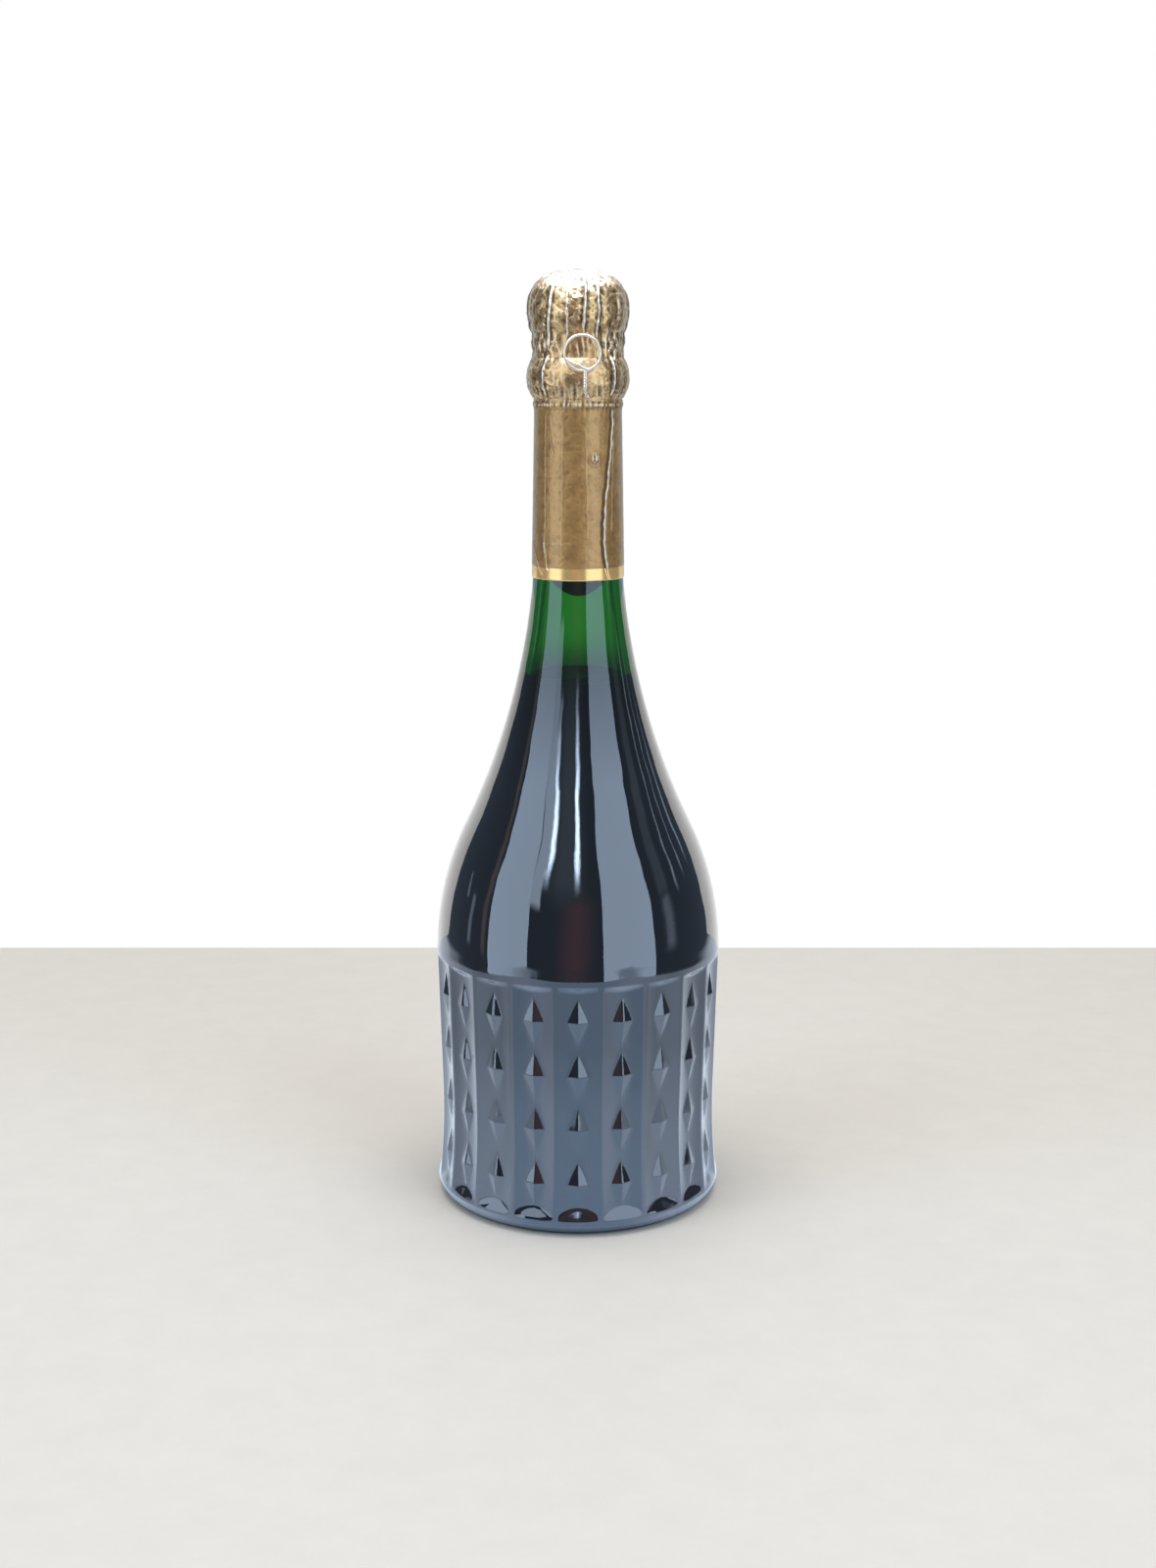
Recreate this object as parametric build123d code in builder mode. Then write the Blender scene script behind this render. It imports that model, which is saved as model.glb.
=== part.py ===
"""Sparkling wine bottle, full and unopened.

Frame: millimetres, +Z up the bottle's axis, origin at the middle of the ring that it
stands on. One panel of the cut column faces -Y, and so does the wire loop on the neck.

Nodes:
    bottle      hollow glass: punt, heel, panelled column with raised diamonds, lip, shoulder, neck
    wine        what fills the glass, up to its level in the shoulder
    capsule     foil wrapped over the closed mouth and down the neck, with its gold hem
    wire_loop   steel ring and twisted stem of the wire that is used to open the foil
"""
from build123d import *
from math import acos, atan2, cos, degrees, hypot, radians, sin, sqrt, tan
import os

os.makedirs("parts", exist_ok=True)

# ---- bottle: outside ---------------------------------------------------------------------
body_radius = 49.0         # smooth shoulder at its widest, which is the lip over the panels
lip_height = 87.1          # height of that lip
shoulder_radius = 101.0    # outward curve that rises from the lip
mouth_height = 293.5       # top of the glass
neck_length = 57.5         # from the end of the shoulder's inward sweep up to the mouth
neck_radius = 14.3         # glass of the neck where it starts
neck_narrowing = 0.4       # how much less its radius is under the collar

column_taper = 1.53        # degrees, the panelled column narrows downwards from the lip
flare_start = 41.0         # height where the column starts to flare out again
flare_radius = 260.0       # curve of that flare
heel_round = 5.5           # rounding from the column into the standing ring
stand_width = 8.7          # the flat standing ring, from the punt to that rounding
punt_height = 24.0         # hollow under the base

# ---- bottle: cut panels and diamonds -----------------------------------------------------
panel_count = 20
rib_width = 1.73           # left between the hollow panels
panel_depth = 1.5          # from the ribs' circle down to the middle of a panel
panel_top_rise = 2.0       # height of the slope that ends a panel under the lip
panel_foot = 6.2           # height of the heel ring, where the slope under a panel starts
panel_foot_rise = 2.9      # height of that slope

stud_rows = 4
stud_width = 6.7
stud_height = 1.2          # from the middle of the panel to the diamond's peak
stud_gap = 3.53            # from tip to tip of neighbouring diamonds
stud_top_gap = 4.7         # from the lip to the tip of the highest diamond
stud_foot_gap = 1.11       # from the tip of the lowest diamond to the slope under the panel
stud_peak_flat = 0.12      # the peak is blunt, this wide
stud_root = 0.7            # how deep a diamond's foot goes into the panel

# ---- bottle: inside ----------------------------------------------------------------------
shoulder_wall = 4.5        # glass of the shoulder
column_wall = 3.8          # glass behind the panels where the column is narrowest
floor_wall = 6.0           # glass over the punt
trough_depth = 7.3         # glass over the standing ring
trough_round = 5.5         # rounding between the wall and the floor, inside
bore_radius = 9.3          # inside of the mouth

# ---- glass collar that the wire holds on to ------------------------------------------------
collar_drop = 12.2         # from the mouth down to the collar's middle
collar_reach = 2.3         # how far it stands out of the neck
collar_length = 10.4

# ---- wine --------------------------------------------------------------------------------
headspace = 110.7          # from the mouth down to the wine

# ---- capsule: heights, measured from the mouth or the collar that they go over -------------
foil_length = 78.6         # from the mouth down to the foil's lower edge
crimp_drop = 9.8           # from the collar's middle down to the foot of the crimp
crimp_length = 3.4         # bead where the foil is gathered in under the collar
waist_rise = 6.7           # from the collar's middle up to where the foil draws in
head_foot_rise = 2.5       # from the mouth up to the foot of the stopper's head
head_middle_rise = 9.1
head_shoulder_rise = 15.6
head_edge_rise = 20.2
crown_rise = 22.8

# ---- capsule: how far it stands off what is inside it --------------------------------------
hem_clearance = 0.25       # off the glass at the lower edge
neck_clearance = 0.55      # off the glass at the top of the neck
collar_clearance = 0.7     # off the collar
waist_clearance = 1.05     # off the glass between the collar and the mouth
head_reach = 1.35          # the head's middle, out from the waist
head_shoulder_reach = 0.45
head_edge_inset = 3.35     # the crown's edge, in from the waist
head_edge_bulge = 0.5      # how far that edge stands out of the straight
waist_dip = 0.15
crimp_lift = 0.25

seam_angle = -47.0         # degrees round from +X, where the foil overlaps itself
seam_width = 2.4
seam_lift = 0.25
leg_count = 4              # legs of the wire hood, which show as ribs in the foil
leg_angle = -68.0
leg_width = 1.1
leg_lift = 0.3
rib_root = 0.1             # how deep a rib's foot goes into the foil

# ---- wire loop ---------------------------------------------------------------------------
wire = 0.9
loop_radius = 5.7          # to the middle of the wire
loop_rise = 8.3            # from the collar's middle up to the loop's
loop_side = 1.4            # the loop hangs a little to +X of the middle
loop_lean = 6.0            # degrees, the loop's top leans back to the foil
loop_gap = 0.3             # from the foil over the collar to the twists of the stem
stem_side = 2.4            # the stem runs down beside the middle
stem_turns = 5
stem_wire = 0.6            # radius of the stem between its twists
stem_twist = 0.9           # radius of a twist
stem_foot_rise = 0.5       # the stem goes into the foil this far over the crimp

# ---- heights and radii that follow ---------------------------------------------------------
neck_start = mouth_height - neck_length
neck_top_radius = neck_radius - neck_narrowing
collar_height = mouth_height - collar_drop
collar_radius = neck_top_radius + collar_reach
wine_level = mouth_height - headspace
foil_hem = mouth_height - foil_length
foil_neck_top = collar_height - crimp_drop
foil_waist_start = collar_height + waist_rise
head_foot = mouth_height + head_foot_rise
head_middle = mouth_height + head_middle_rise
head_shoulder = mouth_height + head_shoulder_rise
head_edge = mouth_height + head_edge_rise
total_height = mouth_height + crown_rise
foil_neck_radius = neck_top_radius + neck_clearance
foil_collar_radius = collar_radius + collar_clearance
foil_waist_radius = neck_top_radius + waist_clearance
head_radius = foil_waist_radius + head_reach
head_shoulder_radius = foil_waist_radius + head_shoulder_reach
head_edge_radius = foil_waist_radius - head_edge_inset
loop_height = collar_height + loop_rise


def on_arc(centre_r, centre_z, radius, angle):
    """Point of an arc in the (r, z) half plane, angle in degrees up from +r."""
    return (centre_r + radius * cos(radians(angle)), centre_z + radius * sin(radians(angle)))


# ---- outline of the column: a taper, then a flare, in the (r, z) half plane ---------------
flare_start_radius = body_radius - (lip_height - flare_start) * tan(radians(column_taper))
flare_centre_r = flare_start_radius + flare_radius * cos(radians(column_taper))
flare_centre_z = flare_start - flare_radius * sin(radians(column_taper))
# the heel's rounding touches the flare from inside and the standing plane from above
heel_lean = degrees(acos((flare_centre_z - heel_round) / (flare_radius + heel_round)))
heel_centre_r = flare_centre_r - (flare_radius + heel_round) * sin(radians(heel_lean))
heel_join = on_arc(heel_centre_r, heel_round, heel_round, 90 - heel_lean)
stand_inner_radius = heel_centre_r - stand_width
waist_radius = flare_centre_r - flare_radius


def column_radius(height):
    """Radius of the ribs' circle at a height of the column."""
    if height >= flare_start:
        return body_radius - (lip_height - height) * tan(radians(column_taper))
    return flare_centre_r - sqrt(flare_radius**2 - (height - flare_centre_z) ** 2)


def column_lean(height):
    """Degrees that the column's outward normal points down (taper) or up (flare)."""
    if height >= flare_start:
        return -column_taper
    return degrees(atan2(flare_centre_z - height, flare_centre_r - column_radius(height)))


# ---- outline of the shoulder: an outward arc, then an inward one, that share a tangent ----
shoulder_drop = body_radius - neck_radius
shoulder_rise = neck_start - lip_height
shoulder_angle = 2 * degrees(atan2(shoulder_drop, shoulder_rise))
sweep_radius = shoulder_rise / sin(radians(shoulder_angle)) - shoulder_radius
shoulder_centre_r = body_radius - shoulder_radius
sweep_centre_r = neck_radius + sweep_radius


def shoulder_points(inset):
    """Start, middle and end of both arcs, moved inwards by inset."""
    out_radius = shoulder_radius - inset
    in_radius = sweep_radius + inset
    half = shoulder_angle / 2
    lower = [on_arc(shoulder_centre_r, lip_height, out_radius, a) for a in (0, half, 2 * half)]
    upper = [on_arc(sweep_centre_r, neck_start, in_radius, 180 + a) for a in (2 * half, half, 0)]
    return lower, upper


# ---- one hollow panel, as the body that is cut away ---------------------------------------
panel_width = 2 * body_radius * sin(radians(180 / panel_count)) - rib_width
rib_half_angle = degrees(atan2(panel_width / 2, body_radius))
panel_sag = panel_depth - body_radius * (1 - cos(radians(rib_half_angle)))
panel_radius = panel_width**2 / (8 * panel_sag) + panel_sag / 2
path_shift = panel_radius - panel_depth
path_radius = flare_radius - path_shift
path_top = lip_height + 12
path_line_end = (
    flare_start_radius + path_shift * cos(radians(column_taper)),
    flare_start - path_shift * sin(radians(column_taper)),
)
path_line_start = (
    path_line_end[0] + (path_top - path_line_end[1]) * tan(radians(column_taper)),
    path_top,
)
path_foot_angle = 180 + heel_lean * 1.9
path_mid_angle = (180 - column_taper + path_foot_angle) / 2
zone_reach = 6.0           # how far the panels' zone runs past the ribs' circle
panel_foot_radius = column_radius(panel_foot)
top_slope = panel_top_rise / panel_depth
foot_slope = panel_foot_rise / panel_depth

with BuildPart() as panel_zone:
    with BuildSketch(Plane.XZ):
        with BuildLine():
            Polyline(
                (body_radius - zone_reach, lip_height - zone_reach * top_slope),
                (body_radius + zone_reach, lip_height + zone_reach * top_slope),
                (panel_foot_radius + zone_reach, panel_foot - zone_reach * foot_slope),
                (panel_foot_radius - zone_reach, panel_foot + zone_reach * foot_slope),
                close=True,
            )
        make_face()
    revolve(axis=Axis.Z)

with BuildPart() as panel_cutter:
    with BuildLine(Plane.XZ) as panel_path:
        Line(path_line_start, path_line_end)
        ThreePointArc(
            path_line_end,
            on_arc(flare_centre_r, flare_centre_z, path_radius, path_mid_angle),
            on_arc(flare_centre_r, flare_centre_z, path_radius, path_foot_angle),
        )
    panel_path_start = Plane(
        origin=(path_line_start[0], 0, path_line_start[1]), z_dir=panel_path.line % 0
    )
    with BuildSketch(panel_path_start):
        Circle(panel_radius)
    sweep(path=panel_path.line)
    add(panel_zone.part, mode=Mode.INTERSECT)

# ---- one column of diamonds, on the panel that faces +X -----------------------------------
stud_space = lip_height - stud_top_gap - panel_foot - panel_foot_rise - stud_foot_gap
stud_length = (stud_space - (stud_rows - 1) * stud_gap) / stud_rows
stud_foot_scale = (stud_height + stud_root) / stud_height
stud_tip_scale = stud_peak_flat / stud_width


def diamond(scale):
    """Corners of a diamond, as a share of the raised diamond's outline."""
    half_width = stud_width / 2 * scale
    half_length = stud_length / 2 * scale
    return [(half_width, 0), (0, half_length), (-half_width, 0), (0, -half_length)]


with BuildPart() as stud_column:
    for row in range(stud_rows):
        stud_middle = lip_height - stud_top_gap - stud_length / 2 - row * (stud_length + stud_gap)
        lean = radians(column_lean(stud_middle))
        floor_radius = column_radius(stud_middle) - panel_depth
        stud_plane = Plane(
            origin=(floor_radius, 0, stud_middle),
            x_dir=(0, 1, 0),
            z_dir=(cos(lean), 0, sin(lean)),
        )
        with BuildSketch(stud_plane.offset(-stud_root)):
            Polygon(*diamond(stud_foot_scale), align=None)
        with BuildSketch(stud_plane.offset(stud_height)):
            Polygon(*diamond(stud_tip_scale), align=None)
        loft(ruled=True)

# ---- the space inside the glass -----------------------------------------------------------
inner_radius = waist_radius - panel_depth - column_wall
inner_lower, inner_upper = shoulder_points(shoulder_wall)
trough_centre_r = inner_radius - trough_round
dome_edge = (trough_centre_r - trough_round, trough_depth + trough_round)
dome_top = punt_height + floor_wall
dome_radius = (dome_edge[0] ** 2 + (dome_top - dome_edge[1]) ** 2) / (2 * (dome_top - dome_edge[1]))
dome_half = degrees(atan2(dome_edge[0], dome_edge[1] - dome_top + dome_radius)) / 2

with BuildPart() as cavity:
    with BuildSketch(Plane.XZ):
        with BuildLine():
            Line((0, mouth_height), (0, dome_top))
            ThreePointArc(
                (0, dome_top), on_arc(0, dome_top - dome_radius, dome_radius, 90 - dome_half), dome_edge
            )
            ThreePointArc(
                dome_edge,
                (trough_centre_r, trough_depth),
                (inner_radius, trough_depth + trough_round),
            )
            Line((inner_radius, trough_depth + trough_round), (inner_radius, flare_start))
            Line((inner_radius, flare_start), inner_lower[0])
            ThreePointArc(*inner_lower)
            ThreePointArc(*inner_upper)
            Line(inner_upper[2], (bore_radius, mouth_height))
            Line((bore_radius, mouth_height), (0, mouth_height))
        make_face()
    revolve(axis=Axis.Z)

# ---- outside of the neck, from the sweep to the mouth --------------------------------------
outer_lower, outer_upper = shoulder_points(0)
collar_foot = collar_height - collar_length / 2
collar_top = collar_height + collar_length / 2


def neck_lines():
    """Straight neck, round collar and straight mouth."""
    Line((neck_radius, neck_start), (neck_top_radius, collar_foot))
    ThreePointArc(
        (neck_top_radius, collar_foot),
        (collar_radius, collar_height),
        (neck_top_radius, collar_top),
    )
    Line((neck_top_radius, collar_top), (neck_top_radius, mouth_height))
    Line((neck_top_radius, mouth_height), (0, mouth_height))


# ---- bottle -------------------------------------------------------------------------------
punt_radius = (stand_inner_radius**2 + punt_height**2) / (2 * punt_height)
punt_half = degrees(atan2(stand_inner_radius, punt_radius - punt_height)) / 2
heel_mid_angle = -heel_lean / 2

with BuildPart() as bottle:
    with BuildSketch(Plane.XZ):
        with BuildLine():
            ThreePointArc(
                (0, punt_height),
                on_arc(0, punt_height - punt_radius, punt_radius, 90 - punt_half),
                (stand_inner_radius, 0),
            )
            Line((stand_inner_radius, 0), (heel_centre_r, 0))
            ThreePointArc(
                (heel_centre_r, 0),
                on_arc(heel_centre_r, heel_round, heel_round, heel_mid_angle),
                heel_join,
            )
            ThreePointArc(
                heel_join,
                (waist_radius, flare_centre_z),
                (flare_start_radius, flare_start),
            )
            Line((flare_start_radius, flare_start), outer_lower[0])
            ThreePointArc(*outer_lower)
            ThreePointArc(*outer_upper)
            neck_lines()
            Line((0, mouth_height), (0, punt_height))
        make_face()
    revolve(axis=Axis.Z)
    with PolarLocations(0, panel_count, start_angle=-90):
        add(panel_cutter.part, mode=Mode.SUBTRACT)
    with PolarLocations(0, panel_count, start_angle=-90):
        add(stud_column.part)
    add(cavity.part, mode=Mode.SUBTRACT)
bottle.part.label = "bottle"
export_step(bottle.part, "parts/bottle.step")

# ---- wine ---------------------------------------------------------------------------------
with BuildPart() as wine:
    add(cavity.part)
    split(bisect_by=Plane.XY.offset(wine_level), keep=Keep.BOTTOM)
wine.part.label = "wine"
export_step(wine.part, "parts/wine.step")

# ---- capsule ------------------------------------------------------------------------------
crimp_end = foil_neck_top + crimp_length
crimp_middle = (foil_neck_top + crimp_end) / 2
dome_height = total_height - head_edge
crown_radius = (head_edge_radius**2 + dome_height**2) / (2 * dome_height)
crown_half = degrees(atan2(head_edge_radius, crown_radius - dome_height)) / 2
crown_middle = on_arc(0, total_height - crown_radius, crown_radius, 90 - crown_half)
edge_in = head_shoulder_radius - head_edge_radius
edge_up = head_edge - head_shoulder
edge_middle = (
    (head_edge_radius + head_shoulder_radius) / 2 + head_edge_bulge * edge_up / hypot(edge_in, edge_up),
    (head_edge + head_shoulder) / 2 + head_edge_bulge * edge_in / hypot(edge_in, edge_up),
)
head_arcs = [
    (
        (foil_neck_radius, crimp_end),
        (foil_collar_radius, collar_height),
        (foil_waist_radius, foil_waist_start),
    ),
    (
        (foil_waist_radius, foil_waist_start),
        (foil_waist_radius - waist_dip, (foil_waist_start + head_foot) / 2),
        (foil_waist_radius, head_foot),
    ),
    (
        (foil_waist_radius, head_foot),
        (head_radius, head_middle),
        (head_shoulder_radius, head_shoulder),
    ),
]


def moved(points, lift):
    """The same points, further from the axis."""
    return [(r + lift, z) for r, z in points]


hem_glass_radius = sweep_centre_r - sqrt(sweep_radius**2 - (neck_start - foil_hem) ** 2)
foil_hem_radius = hem_glass_radius + hem_clearance
sleeve = [(foil_hem_radius, foil_hem), (foil_neck_radius, foil_neck_top)]

# the foil's whole outer shape, filled
with BuildPart() as foil_blank:
    with BuildSketch(Plane.XZ):
        with BuildLine():
            Line(*sleeve)
            ThreePointArc(
                (foil_neck_radius, foil_neck_top),
                (foil_neck_radius + crimp_lift, crimp_middle),
                (foil_neck_radius, crimp_end),
            )
            for arc in head_arcs:
                ThreePointArc(*arc)
            ThreePointArc(
                (head_shoulder_radius, head_shoulder), edge_middle, (head_edge_radius, head_edge)
            )
            ThreePointArc((head_edge_radius, head_edge), crown_middle, (0, total_height))
            Line((0, total_height), (0, foil_hem))
            Line((0, foil_hem), (foil_hem_radius, foil_hem))
        make_face()
    revolve(axis=Axis.Z)

# the glass that the foil goes round, filled
with BuildPart() as neck_blank:
    with BuildSketch(Plane.XZ):
        with BuildLine():
            ThreePointArc(*outer_upper)
            neck_lines()
            Line((0, mouth_height), (0, outer_upper[0][1]))
            Line((0, outer_upper[0][1]), outer_upper[0])
        make_face()
    revolve(axis=Axis.Z)


def upright(angle):
    """Half plane through the axis, as far round from +X as the angle says."""
    turn = radians(angle)
    return Plane(
        origin=(0, 0, 0), x_dir=(cos(turn), sin(turn), 0), z_dir=(sin(turn), -cos(turn), 0)
    )


seam_turn = degrees(seam_width / foil_neck_radius)
leg_turn = degrees(leg_width / foil_waist_radius)

with BuildPart() as capsule:
    add(foil_blank.part)
    add(neck_blank.part, mode=Mode.SUBTRACT)
    with BuildSketch(upright(seam_angle)):
        Polygon(*moved(sleeve, seam_lift), *reversed(moved(sleeve, -rib_root)), align=None)
    revolve(axis=Axis.Z, revolution_arc=seam_turn)
    for leg in range(leg_count):
        for arc in head_arcs:
            rib_face = moved(arc, leg_lift)
            rib_foot = moved(arc, -rib_root)
            with BuildSketch(upright(leg_angle + leg * 360 / leg_count)):
                with BuildLine():
                    ThreePointArc(*rib_face)
                    Line(rib_face[2], rib_foot[2])
                    ThreePointArc(*rib_foot)
                    Line(rib_foot[0], rib_face[0])
                make_face()
            revolve(axis=Axis.Z, revolution_arc=leg_turn)
capsule.part.label = "capsule"
export_step(capsule.part, "parts/capsule.step")

# ---- wire loop ----------------------------------------------------------------------------
stem_depth = foil_collar_radius + leg_lift + loop_gap + stem_twist
loop_foot = loop_height - loop_radius * cos(radians(loop_lean))
loop_depth = stem_depth - loop_radius * sin(radians(loop_lean))
stem_knee = collar_height - stem_twist * 2
stem_foot = crimp_end + stem_foot_rise
stem_route = [
    (stem_side, -stem_depth, loop_foot),
    (stem_side, -stem_depth, stem_knee),
    (stem_side, -foil_neck_radius, stem_foot),
]

with BuildPart() as wire_loop:
    with Locations(
        Location((loop_side, -loop_depth, loop_height), (90 - loop_lean, 0, 0))
    ):
        Torus(loop_radius, wire / 2)
    with BuildLine() as stem_line:
        FilletPolyline(*stem_route, radius=stem_twist * 2)
    with BuildSketch(Plane(origin=stem_route[0], z_dir=(0, 0, -1))):
        Circle(stem_wire)
    sweep(path=stem_line.line)
    for twist in range(stem_turns):
        with Locations(stem_line.line @ ((twist + 0.5) / (stem_turns + 1))):
            Sphere(stem_twist)
    add(foil_blank.part, mode=Mode.SUBTRACT)
wire_loop.part.label = "wire_loop"
export_step(wire_loop.part, "parts/wire_loop.step")
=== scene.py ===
"""Looks of a full sparkling wine bottle: cut glass, wine, crinkled gold foil and its wire loop.

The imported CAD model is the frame. Every piece here is a surface worked out with numpy in
that frame, in metres, with the bottle's axis on +Z and its front facing -Y.
"""
import bpy
import numpy as np
from bpy.props import FloatProperty, FloatVectorProperty, IntProperty, PointerProperty
from bpy.types import Operator, Panel, PropertyGroup
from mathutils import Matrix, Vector


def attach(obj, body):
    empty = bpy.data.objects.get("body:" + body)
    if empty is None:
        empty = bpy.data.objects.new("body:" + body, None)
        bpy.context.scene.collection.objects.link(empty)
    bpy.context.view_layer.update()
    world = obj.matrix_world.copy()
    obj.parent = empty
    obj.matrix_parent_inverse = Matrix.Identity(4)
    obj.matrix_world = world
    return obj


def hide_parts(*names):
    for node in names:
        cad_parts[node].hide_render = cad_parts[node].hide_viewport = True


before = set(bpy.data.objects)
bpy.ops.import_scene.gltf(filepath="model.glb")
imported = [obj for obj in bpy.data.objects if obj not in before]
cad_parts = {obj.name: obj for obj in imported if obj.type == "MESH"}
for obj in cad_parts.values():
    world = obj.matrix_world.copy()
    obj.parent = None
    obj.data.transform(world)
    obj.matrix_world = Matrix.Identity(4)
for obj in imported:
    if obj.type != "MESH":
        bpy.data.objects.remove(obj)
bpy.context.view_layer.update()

bl_info = {
    "name": "Cut glass sparkling wine bottle",
    "version": (1, 0, 0),
    "blender": (4, 5, 0),
    "location": "View3D > Sidebar > Bottle",
    "description": "Makes a cut glass bottle with its wine, foil capsule and wire loop",
    "category": "Add Mesh",
}

MM = 0.001
BODY = "root"
TAU = 2 * np.pi
FRONT = -np.pi / 2          # angle of -Y round the axis
HEAD_COLUMNS = 430          # points round the foil of the head
SLEEVE_COLUMNS = 400        # points round the foil of the sleeve
TABLE_REACH = 0.84          # from the axis to the table's front and side edges


# ---------------------------------------------------------------- sizes and colours
def length(name, text, value):
    """A length property in metres, from millimetres."""
    return FloatProperty(
        name=name, description=text, default=value * MM, precision=5, subtype="DISTANCE",
        unit="LENGTH",
    )


def colour(name, text, value):
    """A colour property, in linear light."""
    return FloatVectorProperty(
        name=name, description=text, default=value, size=3, min=0, max=1, subtype="COLOR"
    )


class GlassSizes(PropertyGroup):
    body_radius: length("Body radius", "Smooth shoulder at its widest", 49.0)
    lip_height: length("Lip height", "Height of the lip over the panels", 87.1)
    shoulder_radius: length("Shoulder radius", "Outward curve over the lip", 101.0)
    neck_start: length("Neck start", "Height where the sweep becomes the neck", 236.0)
    neck_radius: length("Neck radius", "Glass of the neck where it starts", 14.3)
    neck_top_radius: length("Neck top radius", "Glass of the neck under its collar", 13.9)
    flare_start: length("Flare start", "Height where the column starts to flare", 41.0)
    flare_radius: length("Flare radius", "Curve of the column's flare", 260.0)
    column_taper: FloatProperty(
        name="Column taper", description="How far the column leans in below the lip",
        default=float(np.radians(1.53)), subtype="ANGLE", unit="ROTATION",
    )
    heel_round: length("Heel rounding", "Rounding into the standing ring", 5.5)
    stand_inner_radius: length("Stand inner radius", "Inner edge of the standing ring", 35.0)
    punt_height: length("Punt height", "Hollow under the base", 24.0)
    panel_count: IntProperty(name="Panels", description="Hollow panels round", default=20, min=3)
    panel_width: length("Panel width", "Across one hollow panel", 13.9)
    panel_depth: length("Panel depth", "From the ribs to the middle of a panel", 1.5)
    panel_top_rise: length("Panel top slope", "Height of the slope under the lip", 2.0)
    panel_foot: length("Panel foot", "Height of the heel ring", 6.2)
    panel_foot_rise: length("Panel foot slope", "Height of the slope over the heel", 2.9)
    rib_soften: length("Rib softening", "How far a rib's edges are rounded", 0.10)
    stud_rows: IntProperty(name="Diamond rows", description="Diamonds on a panel", default=4)
    stud_width: length("Diamond width", "Across a diamond at the panel's floor", 8.3)
    stud_length: length("Diamond length", "From tip to tip", 15.4)
    stud_height: length("Diamond height", "From the panel to the peak", 1.38)
    stud_pitch: length("Diamond pitch", "From row to row", 18.93)
    stud_top_gap: length("Diamond gap", "From the lip to the highest tip", 4.7)
    stud_soften: length("Diamond softening", "Rounding of a diamond's creases", 0.09)
    mouth_height: length("Mouth height", "Top of the glass", 293.5)
    bore_radius: length("Bore radius", "Inside of the mouth", 9.3)
    collar_height: length("Collar height", "Middle of the glass collar", 281.3)
    collar_radius: length("Collar radius", "Glass collar", 16.2)
    collar_length: length("Collar length", "Height of the glass collar", 10.4)
    shoulder_wall: length("Shoulder wall", "Glass of the shoulder", 4.5)
    column_wall: length("Column wall", "Glass behind the narrowest panels", 3.8)
    floor_wall: length("Floor wall", "Glass over the punt", 6.0)
    trough_depth: length("Trough depth", "Glass over the standing ring", 7.3)
    trough_round: length("Trough rounding", "Rounding between wall and floor", 5.5)


class WineSizes(PropertyGroup):
    level: length("Level", "Height of the wine", 182.8)
    into_wall: length("Into the wall", "How far the wine reaches into the glass", 0.25)
    meniscus: length("Meniscus", "How far the wine climbs the glass", 0.7)


class FoilSizes(PropertyGroup):
    hem: length("Hem", "Height of the foil's lower edge", 216.1)
    hem_radius: length("Hem radius", "Foil at its lower edge", 15.5)
    band: length("Band", "Height of the smooth gold band", 4.1)
    neck_top: length("Neck top", "Height of the top of the sleeve", 271.5)
    neck_radius: length("Neck radius", "Foil at the top of the neck", 14.45)
    crimp_length: length("Crimp length", "Bead under the collar", 3.4)
    crimp_lift: length("Crimp lift", "How far the bead stands out", 0.25)
    collar_radius: length("Collar radius", "Foil over the glass collar", 16.9)
    waist_start: length("Waist start", "Foil draws in over the collar", 288.0)
    waist_radius: length("Waist radius", "Foil between collar and head", 14.95)
    waist_dip: length("Waist dip", "Hollow of the waist", 0.15)
    head_foot: length("Head foot", "Height where the head starts", 296.0)
    head_middle: length("Head middle", "Height of the head's widest part", 302.6)
    head_radius: length("Head radius", "Foil over the stopper's head", 16.3)
    head_shoulder: length("Head shoulder", "Height of the head's upper edge", 309.1)
    head_shoulder_radius: length("Head shoulder radius", "Head at its upper edge", 15.4)
    head_edge: length("Head edge", "Height of the crown's rim", 313.7)
    head_edge_radius: length("Head edge radius", "Radius of the crown's rim", 11.6)
    head_edge_bulge: length("Head edge bulge", "Roundness of the upper edge", 0.5)
    top: length("Top", "Height of the whole bottle", 316.3)
    crumple: length("Crumple", "Depth of the head's crumples", 0.55)
    seam_lift: length("Seam lift", "Step where the foil overlaps itself", 0.36)
    clearance: length("Clearance", "From the glass to the inside of the foil", 0.1)
    # the stopper reaches below the foil, where its dark domed end is painted shade seen through
    # the neck
    stopper_shade_tip: length("Stopper tip", "Height of the stopper's lower end", 209.5)
    stopper_shade_dome: length("Stopper dome", "Height of the stopper's domed end", 5.4)


class WireSizes(PropertyGroup):
    wire: length("Wire", "Thickness of the wire", 1.0)
    loop_radius: length("Loop radius", "Middle of the wire of the loop", 5.7)
    loop_height: length("Loop height", "Height of the loop's middle", 289.6)
    loop_side: length("Loop side", "The loop hangs off the middle", 1.4)
    stem_side: length("Stem side", "The stem runs down off the middle", 2.4)
    stem_foot: length("Stem foot", "Height where the stem goes into the foil", 275.4)
    stand_off: length("Stand off", "From the foil's collar to the loop", 1.5)
    stem_turns: FloatProperty(name="Stem turns", description="Twists down the stem", default=4.5)


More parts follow.
